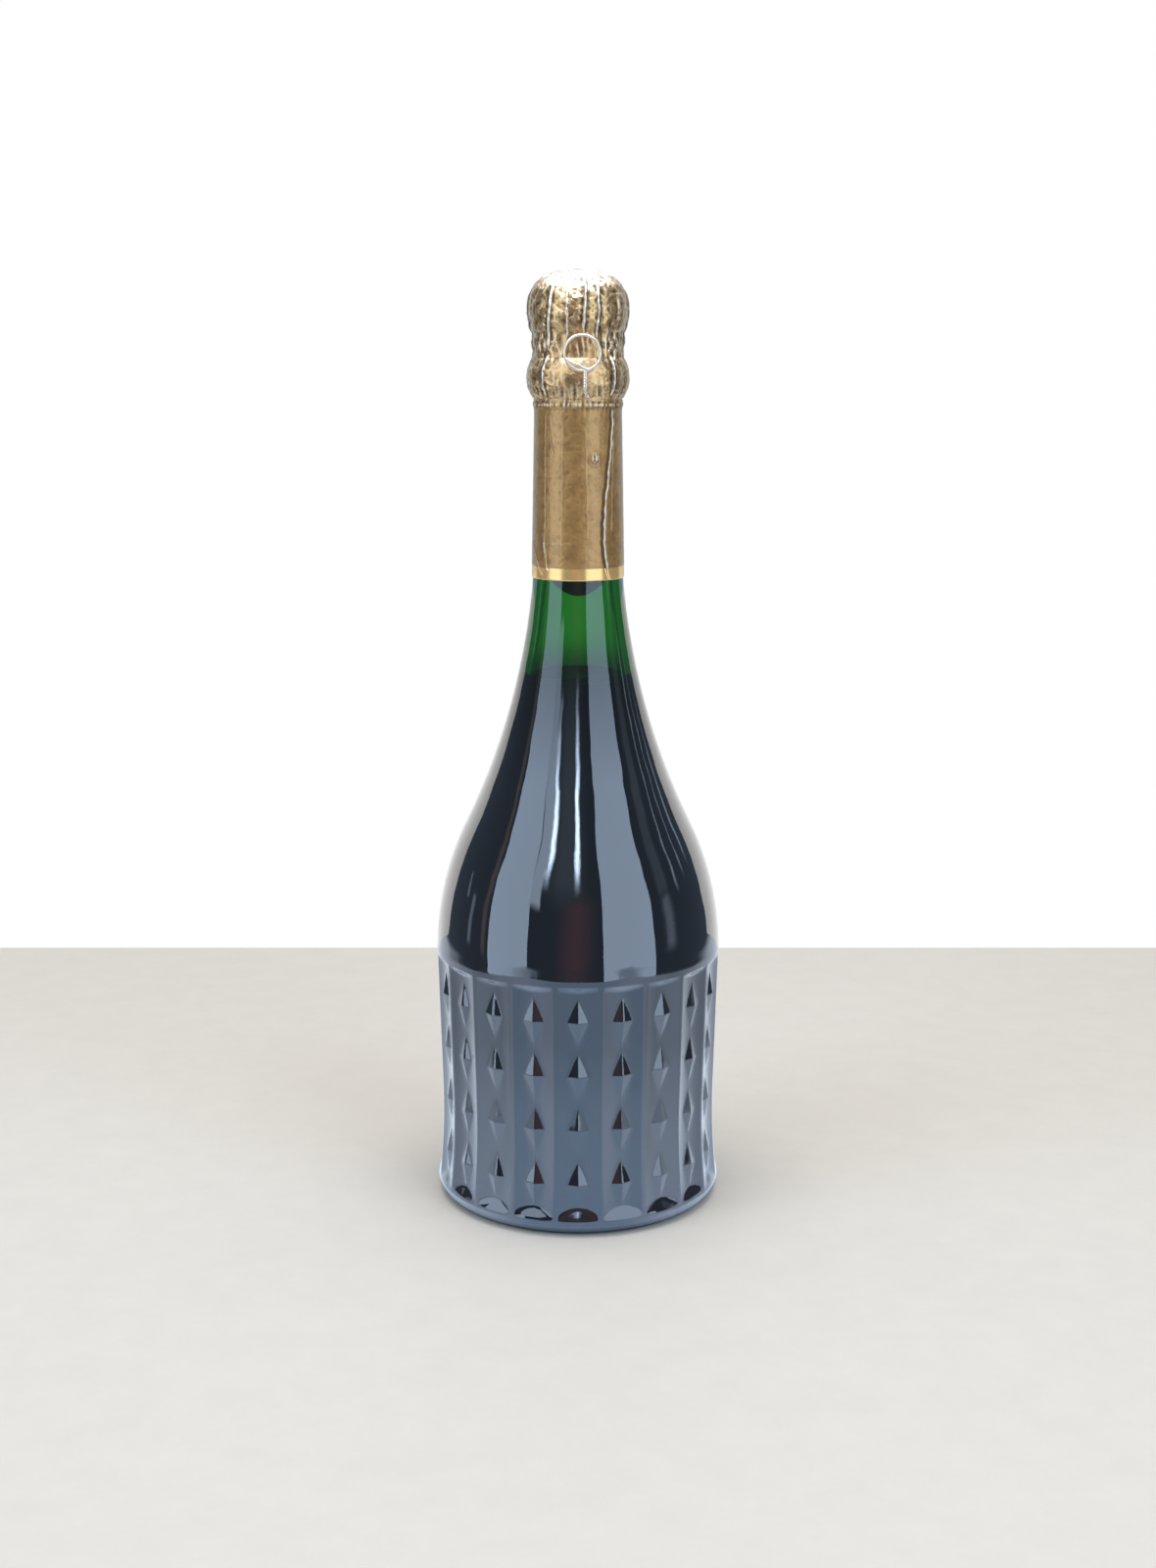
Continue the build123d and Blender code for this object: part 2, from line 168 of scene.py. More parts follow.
class Finishes(PropertyGroup):
    glass_tint: colour("Glass tint", "Light that crosses the glass surface", (0.90, 0.97, 0.90))
    glass_depth: colour("Glass depth", "Light that crosses the glass wall", (0.10, 0.62, 0.10))
    wine: colour("Wine", "Wine seen through the glass", (0.020, 0.008, 0.012))
    foil: colour("Foil", "Crinkled gold foil", (0.47, 0.255, 0.080))
    head: colour("Head foil", "Foil of the head, rubbed brighter", (0.70, 0.425, 0.18))
    hem: colour("Hem", "Smooth gold band", (1.0, 0.63, 0.235))
    steel: colour("Steel", "Wire of the loop", (1.0, 0.84, 0.60))
    floor: colour("Floor", "Pale table top", (0.825, 0.762, 0.672))


class StageSizes(PropertyGroup):
    camera_distance: length("Camera distance", "In front of the bottle's axis", 691.0)
    camera_height: length("Camera height", "Above the table", 289.8)
    camera_pitch: FloatProperty(
        name="Camera pitch", description="How far the camera looks down",
        default=float(np.radians(11.847)), subtype="ANGLE", unit="ROTATION",
    )
    camera_lens: FloatProperty(
        name="Lens", description="Focal length for a 36 mm long side", default=47.26,
        subtype="DISTANCE_CAMERA", unit="CAMERA",
    )
    wall_distance: length("Wall distance", "From the axis to the backdrop", 294.0)
    table_front: length("Sheen front", "How far in front gloss sees the table", 430.0)
    table_side: length("Sheen side", "How far aside gloss sees the table", 370.0)


GROUPS = {
    "bottle_glass": GlassSizes, "bottle_wine": WineSizes, "bottle_foil": FoilSizes,
    "bottle_wire": WireSizes, "bottle_finish": Finishes, "bottle_stage": StageSizes,
}


# ---------------------------------------------------------------- shapes
def arc(centre, radius, start, end, count):
    """Points (r, z) of an arc: centre + radius * (cos a, sin a), a in degrees."""
    turn = np.radians(np.linspace(start, end, count))
    return np.stack([centre[0] + radius * np.cos(turn), centre[1] + radius * np.sin(turn)], 1)


def arc_through(first, middle, last, count):
    """Arc from first to last through middle, from the circle that holds all three."""
    a, b, c = (complex(*p) for p in (first, middle, last))
    w = (c - a) / (b - a)
    centre = (b - a) * (w - abs(w) ** 2) / (2j * w.imag) + a
    turn_a, turn_c = (np.angle(p - centre) for p in (a, c))
    way = np.sign((b - a).real * (c - b).imag - (b - a).imag * (c - b).real)
    sweep = (turn_c - turn_a) * way % TAU
    turn = turn_a + way * np.linspace(0, sweep, count)
    point = centre + abs(a - centre) * np.exp(1j * turn)
    return np.stack([point.real, point.imag], 1)


def line(first, last, count):
    """Evenly spaced points from first to last."""
    return np.linspace(first, last, count)


def full_turn(count):
    """Evenly spaced angles once round."""
    return np.arange(count) / count * TAU


def turn_between(angle, middle):
    """Signed angle from middle, between -pi and pi."""
    return (angle - middle + np.pi) % TAU - np.pi


def soft_min(a, b, soft):
    """The lower of two heights, rounded where they cross: mean - sqrt(difference^2 + soft^2)."""
    return (a + b - np.sqrt((a - b) ** 2 + soft**2)) / 2


def soft_max(a, b, soft):
    """The higher of two heights, rounded where they cross."""
    return (a + b + np.sqrt((a - b) ** 2 + soft**2)) / 2


def soft_abs(value, soft):
    """Distance from zero with a rounded corner: sqrt(value^2 + soft^2) - soft."""
    return np.sqrt(value**2 + soft**2) - soft


def smooth_step(value, low, high):
    """0 below low, 1 above high, 3t^2 - 2t^3 between."""
    t = np.clip((value - low) / (high - low), 0, 1)
    return t * t * (3 - 2 * t)


def bell(value, width, power=2):
    """1 at zero, falling away as exp(-(value / width)^power)."""
    return np.exp(-((value / width) ** power))


def lattice_noise(u, v, cells_u, seed):
    """Gradient noise on a lattice that repeats every cells_u in u: slopes drawn at the
    lattice points, blended with 6t^5 - 15t^4 + 10t^3."""
    cells_v = 256
    turn = np.random.default_rng(seed).uniform(0, TAU, (cells_u, cells_v))
    iu, iv = np.floor(u).astype(int), np.floor(v).astype(int)
    fu, fv = u - iu, v - iv

    def corner(du, dv):
        """Height at a point that one lattice point's slope gives."""
        a = turn[(iu + du) % cells_u, (iv + dv) % cells_v]
        return np.cos(a) * (fu - du) + np.sin(a) * (fv - dv)

    su, sv = (t**3 * (t * (t * 6 - 15) + 10) for t in (fu, fv))
    low = corner(0, 0) * (1 - su) + corner(1, 0) * su
    high = corner(0, 1) * (1 - su) + corner(1, 1) * su
    return low * (1 - sv) + high * sv


def wander(value, seed):
    """Noise along one direction, in a line through the middle of the lattice's cells."""
    return lattice_noise(value, value * 0 + 0.5, 64, seed)


def folds(u, v, cells_u, seed, depth=2.6):
    """Sharp folds: one less the size of the noise, so its zero lines become crests."""
    return 1 - depth * np.abs(lattice_noise(u, v, cells_u, seed))


def placed(name, data):
    """New object of the scene that holds some data."""
    thing = bpy.data.objects.new(name, data)
    bpy.context.scene.collection.objects.link(thing)
    return thing


def mesh_piece(name, vertices, faces):
    """Smooth object at the origin from its points and faces."""
    mesh = bpy.data.meshes.new(name)
    mesh.from_pydata(vertices.tolist(), [], faces)
    mesh.shade_smooth()
    mesh.update()
    return placed(name, mesh)


def ring_shell(points, poles, base=0):
    """Points and faces of a closed shell, from rings of points of shape (rings, columns, 3),
    each ring closed on itself. Quads join ring to ring. Two poles close the ends with fans,
    and without them the last ring joins the first. base is the number of the first point."""
    rings, columns = points.shape[:2]
    index = base + np.arange(rings * columns).reshape(rings, columns)
    if poles is None:
        index = np.vstack([index, index[:1]])
    after = np.roll(index, -1, 1)
    quads = np.stack([index[:-1], after[:-1], after[1:], index[1:]], -1)
    vertices, faces = points.reshape(-1, 3), quads.reshape(-1, 4).tolist()
    if poles is not None:
        tip = base + len(vertices)
        faces += [[tip, b, a] for a, b in zip(index[0], after[0])]
        faces += [[tip + 1, a, b] for a, b in zip(index[-1], after[-1])]
        vertices = np.vstack([vertices, poles])
    return vertices, faces


def polar_points(radius, angle, height):
    """Points round the axis: (radius cos angle, radius sin angle, height)."""
    radius, angle, height = np.broadcast_arrays(radius, angle, height)
    return np.stack([radius * np.cos(angle), radius * np.sin(angle), height], -1)


def turned_piece(name, profile, columns, foot, top):
    """Profile of (r, z) points turned once round the axis, and closed at two heights."""
    points = polar_points(profile[:, :1], full_turn(columns), profile[:, 1:])
    return mesh_piece(name, *ring_shell(points, [(0, 0, foot), (0, 0, top)]))


def tube_points(path, radius, sides, closed=False):
    """Rings of a tube: at each point of a path, a circle across the path's direction.
    The circle's first axis is carried along without twist from point to point."""
    ahead = np.roll(path, -1, 0) - np.roll(path, 1, 0)
    if not closed:
        ahead[0], ahead[-1] = path[1] - path[0], path[-1] - path[-2]
    ahead /= np.linalg.norm(ahead, axis=1, keepdims=True)
    side = np.empty_like(path)
    across = np.cross(ahead[0], (0.3, 0.2, 0.93))
    for i, forward in enumerate(ahead):
        across = across - forward * (across @ forward)
        across /= np.linalg.norm(across)
        side[i] = across
    up = np.cross(ahead, side)
    turn = full_turn(sides)[:, None]
    ring = side[:, None] * np.cos(turn) + up[:, None] * np.sin(turn)
    return path[:, None] + ring * radius


def joined_tubes(name, tubes):
    """One mesh of several tubes, each given as its rings and whether it closes on itself."""
    vertices, faces = np.empty((0, 3)), []
    for rings, closed in tubes:
        poles = None if closed else (rings[0].mean(0), rings[-1].mean(0))
        points, more = ring_shell(rings, poles, len(vertices))
        vertices, faces = np.vstack([vertices, points]), faces + more
    return mesh_piece(name, vertices, faces)


# ---------------------------------------------------------------- the glass
class Outline:
    """The glass in its (r, z) half plane, worked out from its sizes as in the CAD model."""

    def __init__(self, s):
        self.s = s
        taper = s.column_taper
        self.flare_start_radius = s.body_radius - (s.lip_height - s.flare_start) * np.tan(taper)
        self.flare_r = self.flare_start_radius + s.flare_radius * np.cos(taper)
        self.flare_z = s.flare_start - s.flare_radius * np.sin(taper)
        reach = s.flare_radius + s.heel_round
        self.heel_lean = np.arccos((self.flare_z - s.heel_round) / reach)
        self.heel_r = self.flare_r - reach * np.sin(self.heel_lean)
        self.waist = self.flare_r - s.flare_radius
        drop = s.body_radius - s.neck_radius
        rise = s.neck_start - s.lip_height
        self.angle = 2 * np.degrees(np.arctan2(drop, rise))
        self.sweep = rise / np.sin(np.radians(self.angle)) - s.shoulder_radius
        self.inner = self.waist - s.panel_depth - s.column_wall
        rib_half = s.panel_width / 2 / s.body_radius
        sag = s.panel_depth - s.body_radius * (1 - np.cos(rib_half))
        self.panel_radius = s.panel_width**2 / (8 * sag) + sag / 2

    def column(self, height):
        """Radius of the ribs: a straight taper down from the lip, then an outward flare."""
        s = self.s
        straight = s.body_radius - (s.lip_height - height) * np.tan(s.column_taper)
        under = np.minimum(height, s.flare_start) - self.flare_z
        flare = self.flare_r - np.sqrt(s.flare_radius**2 - under**2)
        return np.where(height >= s.flare_start, straight, flare)

    def shoulder(self, inset, count):
        """Outward arc from the lip and inward arc to the neck, moved inwards by inset."""
        s = self.s
        low = arc((s.body_radius - s.shoulder_radius, s.lip_height),
                  s.shoulder_radius - inset, 0, self.angle, count)
        high = arc((s.neck_radius + self.sweep, s.neck_start),
                   self.sweep + inset, 180 + self.angle, 180, count)
        return np.vstack([low, high[1:]])

    def neck(self, count):
        """Neck, round collar and mouth, from the sweep upwards."""
        s = self.s
        foot, top = (s.collar_height + side * s.collar_length / 2 for side in (-1, 1))
        return np.vstack([
            line((s.neck_radius, s.neck_start), (s.neck_top_radius, foot), count)[1:],
            arc_through((s.neck_top_radius, foot), (s.collar_radius, s.collar_height),
                        (s.neck_top_radius, top), count)[1:],
            line((s.neck_top_radius, top), (s.neck_top_radius, s.mouth_height), 4)[1:],
        ])

    def inside(self, grow, count):
        """Inside of the glass from the mouth down to the floor's middle, moved into the
        glass by grow."""
        s = self.s
        wall = self.inner + grow
        trough_r = self.inner - s.trough_round
        trough_z = s.trough_depth + s.trough_round
        edge = trough_r - s.trough_round
        top = s.punt_height + s.floor_wall
        dome = (edge**2 + (top - trough_z) ** 2) / (2 * (top - trough_z))
        half = np.degrees(np.arctan2(edge, trough_z - top + dome))
        shoulder = self.shoulder(s.shoulder_wall - grow, count * 2)[::-1]
        return np.vstack([
            line((s.bore_radius + grow, s.mouth_height), shoulder[0], count)[:-1], shoulder,
            line(shoulder[-1], (wall, s.flare_start), 8)[1:],
            line((wall, s.flare_start), (wall, trough_z), 6)[1:],
            arc((trough_r, trough_z), s.trough_round + grow, 0, -180, count)[1:],
            arc((0, top - dome), dome - grow, 90 - half, 90, count)[1:-1],
        ])


def stud_middles(s):
    """Heights of the diamonds' middles, row under row."""
    top = s.lip_height - s.stud_top_gap - s.stud_length / 2
    return top - np.arange(s.stud_rows) * s.stud_pitch


def column_heights(s):
    """Heights of the column's rings: close together at every crease, sparse between."""
    half, nearest = s.stud_length / 2, 0.03 * MM
    shares = np.array([0, 0.02, 0.06, 0.35, 0.68, 0.93, 1.0])
    shares = np.concatenate([-shares[:0:-1], shares])
    studs = (stud_middles(s)[:, None] + shares * half).ravel()
    foot = s.panel_foot + s.panel_foot_rise * np.linspace(-0.5, 1.6, 10)
    top = s.lip_height - s.panel_top_rise * np.linspace(-0.9, 1.6, 14)
    gaps = (stud_middles(s)[:, None] - half - (s.stud_pitch - s.stud_length) * 0.5).ravel()[:-1]
    heights = np.unique(np.round(np.concatenate([studs, foot, top, gaps]), 7))
    return heights[np.concatenate([[True], np.diff(heights) > nearest])]


def stud_reach(s, height, panel_radius):
    """Half the width of the diamond at each height, where its faces meet the hollow panel:
    the positive root of u^2 / 2R + (H / a) u = H (1 - |v| / b)."""
    v = np.abs(height[:, None] - stud_middles(s)).min(1)
    left = np.clip(1 - v / (s.stud_length / 2), 0, None)
    slope = s.stud_height / (s.stud_width / 2)
    root = np.sqrt((slope * panel_radius) ** 2 + 2 * panel_radius * s.stud_height * left)
    return root - slope * panel_radius


def panel_angles(s, reach):
    """Angles of the columns of points across one panel, for each ring: shares of the way to
    the diamond's edges, reach to either side, then to the rib, and the rib's own edges."""
    half_pitch = np.pi / s.panel_count
    rib = s.panel_width / 2 / s.body_radius
    near = np.maximum(reach, 0.22 * MM)[:, None] / (s.body_radius - s.panel_depth)
    inner = near * np.array([0.05, 0.5, 0.92, 1.0])
    start = near * 1.1
    flat = start + (rib * 0.93 - start) * np.array([0, 0.34, 0.67])
    edge = np.broadcast_to(rib * np.array([0.95, 1.0, 1.05]), (len(reach), 3))
    right = np.concatenate([inner, flat, edge], 1)
    middle = np.zeros((len(reach), 1))
    last = np.full((len(reach), 1), half_pitch)
    return np.concatenate([-right[:, ::-1], middle, right, last], 1)


def column_surface(s, outline, height, angle):
    """Radius of the cut column at a height and an angle from its panel's middle.
    Ribs: the column's outline. Panel: a hollow cylinder of its own radius. Its ends: cones.
    Diamond: planes that fall from a peak, H (1 - |u| / a - |v| / b)."""
    ribs = outline.column(height)
    floor = ribs - s.panel_depth
    centre = floor + outline.panel_radius
    across = np.minimum((centre * np.sin(angle)) ** 2, outline.panel_radius**2)
    panel = centre * np.cos(angle) - np.sqrt(outline.panel_radius**2 - across)
    v = height - stud_middles(s)[np.argmin(np.abs(height[..., None] - stud_middles(s)), -1)]
    slope = soft_abs(floor * np.sin(angle), s.stud_soften) / (s.stud_width / 2)
    slope = slope + soft_abs(v, s.stud_soften) / (s.stud_length / 2)
    stud = (floor + s.stud_height * (1 - slope)) / np.cos(angle)
    panel = soft_max(panel, stud, s.stud_soften * 0.6)
    top_slope = s.panel_depth / s.panel_top_rise
    foot_slope = s.panel_depth / s.panel_foot_rise
    top = s.body_radius - (s.lip_height - height) * top_slope
    foot = outline.column(s.panel_foot) - (height - s.panel_foot) * foot_slope
    panel = soft_max(panel, top, s.rib_soften * 3)
    panel = soft_max(panel, foot, s.rib_soften * 0.7)
    return soft_min(ribs, panel, s.rib_soften)


def glass_piece(s):
    """The bottle as one closed shell: rings run from the punt's middle, under the base, up
    the outside, over the mouth, down the inside and to the floor's middle."""
    outline = Outline(s)
    punt = (s.stand_inner_radius**2 + s.punt_height**2) / (2 * s.punt_height)
    half = np.degrees(np.arctan2(s.stand_inner_radius, punt - s.punt_height))
    lean = np.degrees(outline.heel_lean)
    heights, apart = column_heights(s), 0.05 * MM
    heel = arc((outline.heel_r, s.heel_round), s.heel_round, -90, 90 - lean, 14)[1:]
    under = np.vstack([
        arc((0, s.punt_height - punt), punt, 90, 90 - half, 12)[1:],
        line((s.stand_inner_radius, 0), (outline.heel_r, 0), 3)[1:],
        heel[heel[:, 1] < heights[0] - apart],
    ])
    over = np.vstack([outline.shoulder(0, 18)[1:], outline.neck(8)])
    over = over[over[:, 1] > heights[-1] + apart]
    mouth = line((s.neck_top_radius, s.mouth_height), (s.bore_radius, s.mouth_height), 4)[1:-1]
    inside = outline.inside(0, 8)

    centres = FRONT + full_turn(s.panel_count)[:, None]

    def rings(radius, offsets, height):
        """Rings at heights: the offsets from a panel's middle, repeated for every panel."""
        angle = (centres + offsets[:, None]).reshape(len(offsets), -1)
        return polar_points(radius, angle, height[:, None])

    def plain_rings(profile):
        """Round rings, with their points where a plain stretch of a panel has them."""
        return rings(profile[:, :1], panel_angles(s, np.array([1.6 * MM])), profile[:, 1])

    offsets = panel_angles(s, stud_reach(s, heights, outline.panel_radius))
    column_height = np.broadcast_to(heights[:, None], offsets.shape)
    radius = column_surface(s, outline, column_height, offsets)
    points = np.concatenate([
        plain_rings(under), rings(np.tile(radius, s.panel_count), offsets, heights),
        plain_rings(np.vstack([over, mouth, inside])),
    ])
    poles = [(0, 0, s.punt_height), (0, 0, s.punt_height + s.floor_wall)]
    return mesh_piece("cut_glass_bottle", *ring_shell(points, poles))


def wine_piece(glass, wine):
    """What fills the glass: the inside of the glass, grown a little into the wall, under a
    flat top that climbs the wall by a short exponential."""
    outline = Outline(glass)
    inside = outline.inside(wine.into_wall, 24)
    inside, climb_reach = inside[inside[:, 1] < wine.level], 0.8 * MM
    wall = outline.shoulder(glass.shoulder_wall, 60)
    rim = np.interp(wine.level, wall[:, 1], wall[:, 0]) + wine.into_wall
    radii = rim * np.sin(np.linspace(0, np.pi / 2, 24))[1:]
    climb = wine.level + wine.meniscus * np.exp((radii - rim) / climb_reach)
    profile = np.vstack([np.stack([radii, climb], 1), inside])[::-1]
    foot = glass.punt_height + glass.floor_wall - wine.into_wall
    return turned_piece("wine_fill", profile, 120, foot, wine.level)


# ---------------------------------------------------------------- the foil
def foil_outline(s):
    """Outside of the foil from its hem to the middle of its crown: a straight sleeve, arcs
    through the crimp, collar, waist and head, and a domed crown."""
    crimp_end = s.neck_top + s.crimp_length
    dome = s.top - s.head_edge
    crown = (s.head_edge_radius**2 + dome**2) / (2 * dome)
    crown_half = np.degrees(np.arctan2(s.head_edge_radius, crown - dome))
    across = s.head_shoulder_radius - s.head_edge_radius
    along = s.head_edge - s.head_shoulder
    bulge = s.head_edge_bulge / np.hypot(across, along)
    edge = ((s.head_edge_radius + s.head_shoulder_radius) / 2 + bulge * along,
            (s.head_edge + s.head_shoulder) / 2 + bulge * across)
    crimp = (s.neck_radius + s.crimp_lift, s.neck_top + s.crimp_length / 2)
    collar = (s.collar_radius, (crimp_end + s.waist_start) / 2)
    waist = (s.waist_radius - s.waist_dip, (s.waist_start + s.head_foot) / 2)
    head = (s.head_radius, s.head_middle)
    ends = (
        (s.neck_radius, s.neck_top), (s.neck_radius, crimp_end), (s.waist_radius, s.waist_start),
        (s.waist_radius, s.head_foot), (s.head_shoulder_radius, s.head_shoulder),
        (s.head_edge_radius, s.head_edge),
    )
    middles = ((crimp, 14), (collar, 62), (waist, 30), (head, 52), (edge, 18))
    arcs = [arc_through(start, middle, end, count)[1:]
            for start, (middle, count), end in zip(ends, middles, ends[1:])]
    return np.vstack([
        line((s.hem_radius, s.hem), ends[0], 140), *arcs,
        arc((0, s.top - crown), crown, 90 - crown_half, 90, 34)[1:-1],
    ])


# ribs of the hood's wires in the foil of the head: angle from the front in degrees, foot and
# top in mm, lean in degrees over that height, lift and half width in mm
WIRE_RIBS = (
    (-35, 290, 313, 10, 0.85, 0.36), (-13, 294, 309, 1, 0.34, 0.32),
    (8, 295, 313, 3, 0.80, 0.36), (24, 294, 312, 2, 0.70, 0.34),
    (44, 276, 289, 1, 0.70, 0.34), (-42, 276, 289, 2, 0.60, 0.36),
    (54, 289, 310, 2, 0.22, 0.60), (135, 288, 311, 3, 0.60, 0.55),
    (-135, 288, 311, -3, 0.60, 0.55), (180, 290, 311, 2, 0.50, 0.50),
    (90, 291, 310, -3, 0.45, 0.50), (-90, 290, 310, 3, 0.45, 0.50),
    (110, 276, 289, 2, 0.50, 0.50), (-120, 276, 289, 2, 0.50, 0.50),
    (165, 276, 289, 1, 0.50, 0.50),
)

# creases down the sleeve: angle from the front at the foot and at the top in degrees, foot and
# top in mm, lift and half width in mm
SLEEVE_CREASES = (
    (-47, -47, 219, 272, 0.11, 0.24), (-49, -77, 217, 229, 0.22, 0.35),
    (-42, -50, 219, 232, 0.16, 0.3), (46, 50, 231, 262, 0.16, 0.28),
    (-21, -19, 224, 268, 0.05, 0.25), (12, 9, 230, 266, 0.05, 0.25),
    (-30, -40, 256, 270, 0.10, 0.25), (128, 131, 219, 270, 0.14, 0.3),
    (-140, -132, 224, 268, 0.12, 0.3), (175, 168, 220, 262, 0.12, 0.3),
    (-100, -97, 230, 270, 0.10, 0.3),
)

# gathers at the waist and under the collar: reach up and down and length of a pleat in mm,
# pleats round, seed and depth in mm
GATHERS = ((5, 11, 34, 22, 0.42), (4, 9, 48, 21, 0.34))


def crumples(s, front, height, wide, fine, tiny):
    """Deep crumples over the head, deeper on the crown and calmer where the foil is drawn in
    at the front, and fine ones down the sleeve above its smooth band."""
    head = smooth_step(height, s.neck_top - 1 * MM, s.neck_top + 6 * MM)
    crown = smooth_step(height, s.head_edge - 3 * MM, s.head_edge + 1 * MM)
    drawn = bell(front, 0.62, 4) * (1 - smooth_step(height, s.head_foot, s.head_middle))
    deep = s.crumple * (0.50 * wide + 0.24 * fine + 0.08 * tiny - 0.4)
    band = smooth_step(height, s.hem + s.band, s.hem + s.band + 0.4 * MM)
    light = 0.04 * MM * (wide + fine + 0.35 * tiny)
    return head * deep * (1 + 0.25 * crown) * (1 - 0.6 * drawn) + (1 - head) * band * light


def wire_ribs(s, front, height):
    """Ribs where the hood's wires lie under the foil: a bell across each wandering line."""
    relief = 0 * front
    for turn, foot, top, lean, lift, half in WIRE_RIBS:
        up = (height - foot * MM) / ((top - foot) * MM)
        off = turn_between(front, np.radians(turn + lean * (up - 0.5))) * s.head_radius
        off = off + 0.35 * MM * wander(up * 5, turn + 400)
        window = smooth_step(up, 0, 0.1) * (1 - smooth_step(up, 0.9, 1.05))
        relief = relief + window * lift * MM * bell(off, half * MM)
    return relief


def sleeve_creases(s, front, height):
    """Creases down the sleeve: a bell across each wandering line."""
    relief = 0 * front
    for low_turn, high_turn, foot, top, lift, half in SLEEVE_CREASES:
        up = (height - foot * MM) / ((top - foot) * MM)
        turn = np.radians(low_turn + (high_turn - low_turn) * up)
        off = turn_between(front, turn) * s.neck_radius
        off = off + 0.25 * MM * wander(height / (3.5 * MM), foot)
        window = smooth_step(up, 0, 0.06) * (1 - smooth_step(up, 0.94, 1))
        relief = relief + window * lift * MM * bell(off, half * MM)
    return relief


def side_nets(s, front, height):
    """Netting pressed in at both sides of the waist, deeper on the right: the product of two
    waves that slant opposite ways, 0.5 - 0.5 cos."""
    middle, half_width, half_height, mesh_pitch = np.radians(48), 3.4 * MM, 6.5 * MM, 4.0 * MM
    relief = 0 * front
    rise = height - (s.waist_start + s.head_foot) / 2
    for side in (-1, 1):
        off = turn_between(front, middle * side) * s.head_radius
        window = bell(off, half_width, 4) * bell(rise, half_height, 4)
        net = [0.5 - 0.5 * np.cos(TAU * (off * 1.1 + way * rise * 0.62) / mesh_pitch)
               for way in (-1, 1)]
        depth = (0.65 + 0.2 * side) * MM
        relief = relief - window * depth * ((net[0] * net[1]) ** 1.5 - 0.15)
    return relief


def gathers(s, share, height, along):
    """Pleats where the foil is drawn in at the waist and under the collar, and the fine
    teeth of the crimp."""
    crimp = bell(height - s.neck_top - s.crimp_length * 0.45, 0.55 * MM)
    relief = crimp * 0.34 * MM * folds(share * 84, share * 0 + 0.5, 84, 31)
    middles = (s.waist_start + s.head_foot) / 2, s.neck_top + 4.5 * MM
    for middle, (reach, pleat, count, seed, depth) in zip(middles, GATHERS):
        window = bell(height - middle, reach * MM)
        pleats = folds(share * count, along / (pleat * MM), count, seed, 2.4)
        relief = relief + window * depth * MM * (pleats - 0.5)
    return relief


def overlap(s, front, share, height):
    """Where the foil overlaps itself down the sleeve: a step that fades past a ragged edge,
    with a groove before it. The edge runs 33 degrees from the front at its nearest, by a
    smooth step out to 49 under the collar, and by a parabola back out by 8 at the hem."""
    nearest, out_above, out_below, turns_at = 33, 16, 8, 15 * MM
    low = s.hem + turns_at
    above = out_above * smooth_step(height, low, s.neck_top)
    below = out_below * np.clip((low - height) / turns_at, 0, None) ** 2
    edge = turn_between(front, np.radians(nearest + above + below)) * s.neck_radius
    past = edge + 0.5 * MM * wander(height / (3 * MM), 41)
    step = smooth_step(past, -0.12 * MM, 0.12 * MM) * np.exp(-np.clip(past, 0, None) / (3.2 * MM))
    lift = s.seam_lift + 0.14 * MM * lattice_noise(height / (4 * MM), share, 64, 42)
    groove = bell(past + 0.5 * MM, 0.38 * MM)
    sleeve = 1 - smooth_step(height, s.neck_top - 1 * MM, s.neck_top + 1 * MM)
    return sleeve * (lift * step - 0.20 * MM * groove)


def sleeve_marks(s, front, height, tiny):
    """Glue line round the front of the sleeve, and a crushed nick on its right."""
    glue_height, glue_middle = 228.2 * MM, np.radians(-31)
    nick_height, nick_turn = 256 * MM, np.radians(23)
    glue = bell(height - glue_height, 0.28 * MM)
    glue = glue * (1 - smooth_step(np.abs(front - glue_middle), 0.45, 0.6))
    away = np.hypot(turn_between(front, nick_turn) * s.neck_radius, height - nick_height)
    nick = bell(away, 1.4 * MM) * np.clip(1.4 * tiny, -0.6, 1)
    return 0.10 * MM * glue + 0.5 * MM * nick


def foil_relief(s, angle, height, along):
    """How far the foil stands off its outline: the sum of its crumples, ribs, nets, gathers,
    creases, overlap and marks. along is the length up the outline."""
    front = turn_between(angle, FRONT)
    share = (angle % TAU) / TAU
    wide, fine, tiny = (
        folds(share * cells, along / (size * MM), cells, seed)
        for cells, size, seed in ((20, 4.6, 11), (40, 1.9, 12), (76, 1.3, 13))
    )
    return (
        crumples(s, front, height, wide, fine, tiny) + wire_ribs(s, front, height)
        + side_nets(s, front, height) + gathers(s, share, height, along)
        + sleeve_creases(s, front, height) + sleeve_marks(s, front, height, tiny)
        + overlap(s, front, share, height)
    )


def foil_crests(relief):
    """How far each point of the foil stands over the foil about it: the relief less its own
    mean over a few points each way, in tenths of a millimetre."""
    mean = relief
    for reach in (1, 2, 3):
        mean = (np.roll(mean, reach, 1) + mean + np.roll(mean, -reach, 1)) / 3
        padded = np.pad(mean, ((reach, reach), (0, 0)), mode="edge")
        mean = (padded[: len(mean)] + mean + padded[2 * reach:]) / 3
    return (relief - mean) / (0.1 * MM)


def paint_crests(piece, crests):
    """Stores the crests on a piece's points for its finish to read, which darkens the hollows
    as painted shade and makes the crests pale. Poles get none.
    """
    values = np.zeros(len(piece.data.vertices))
    values[: crests.size] = crests.ravel()
    layer = piece.data.attributes.new("crest", "FLOAT", "POINT")
    layer.data.foreach_set("value", values)


def paint_band(piece, height):
    """Gives a piece's faces below a height its second material."""
    faces = piece.data.polygons
    middle = np.empty(len(faces) * 3)
    faces.foreach_get("center", middle)
    below = middle.reshape(-1, 3)[:, 2] < height
    faces.foreach_set("material_index", below.astype(np.int32))


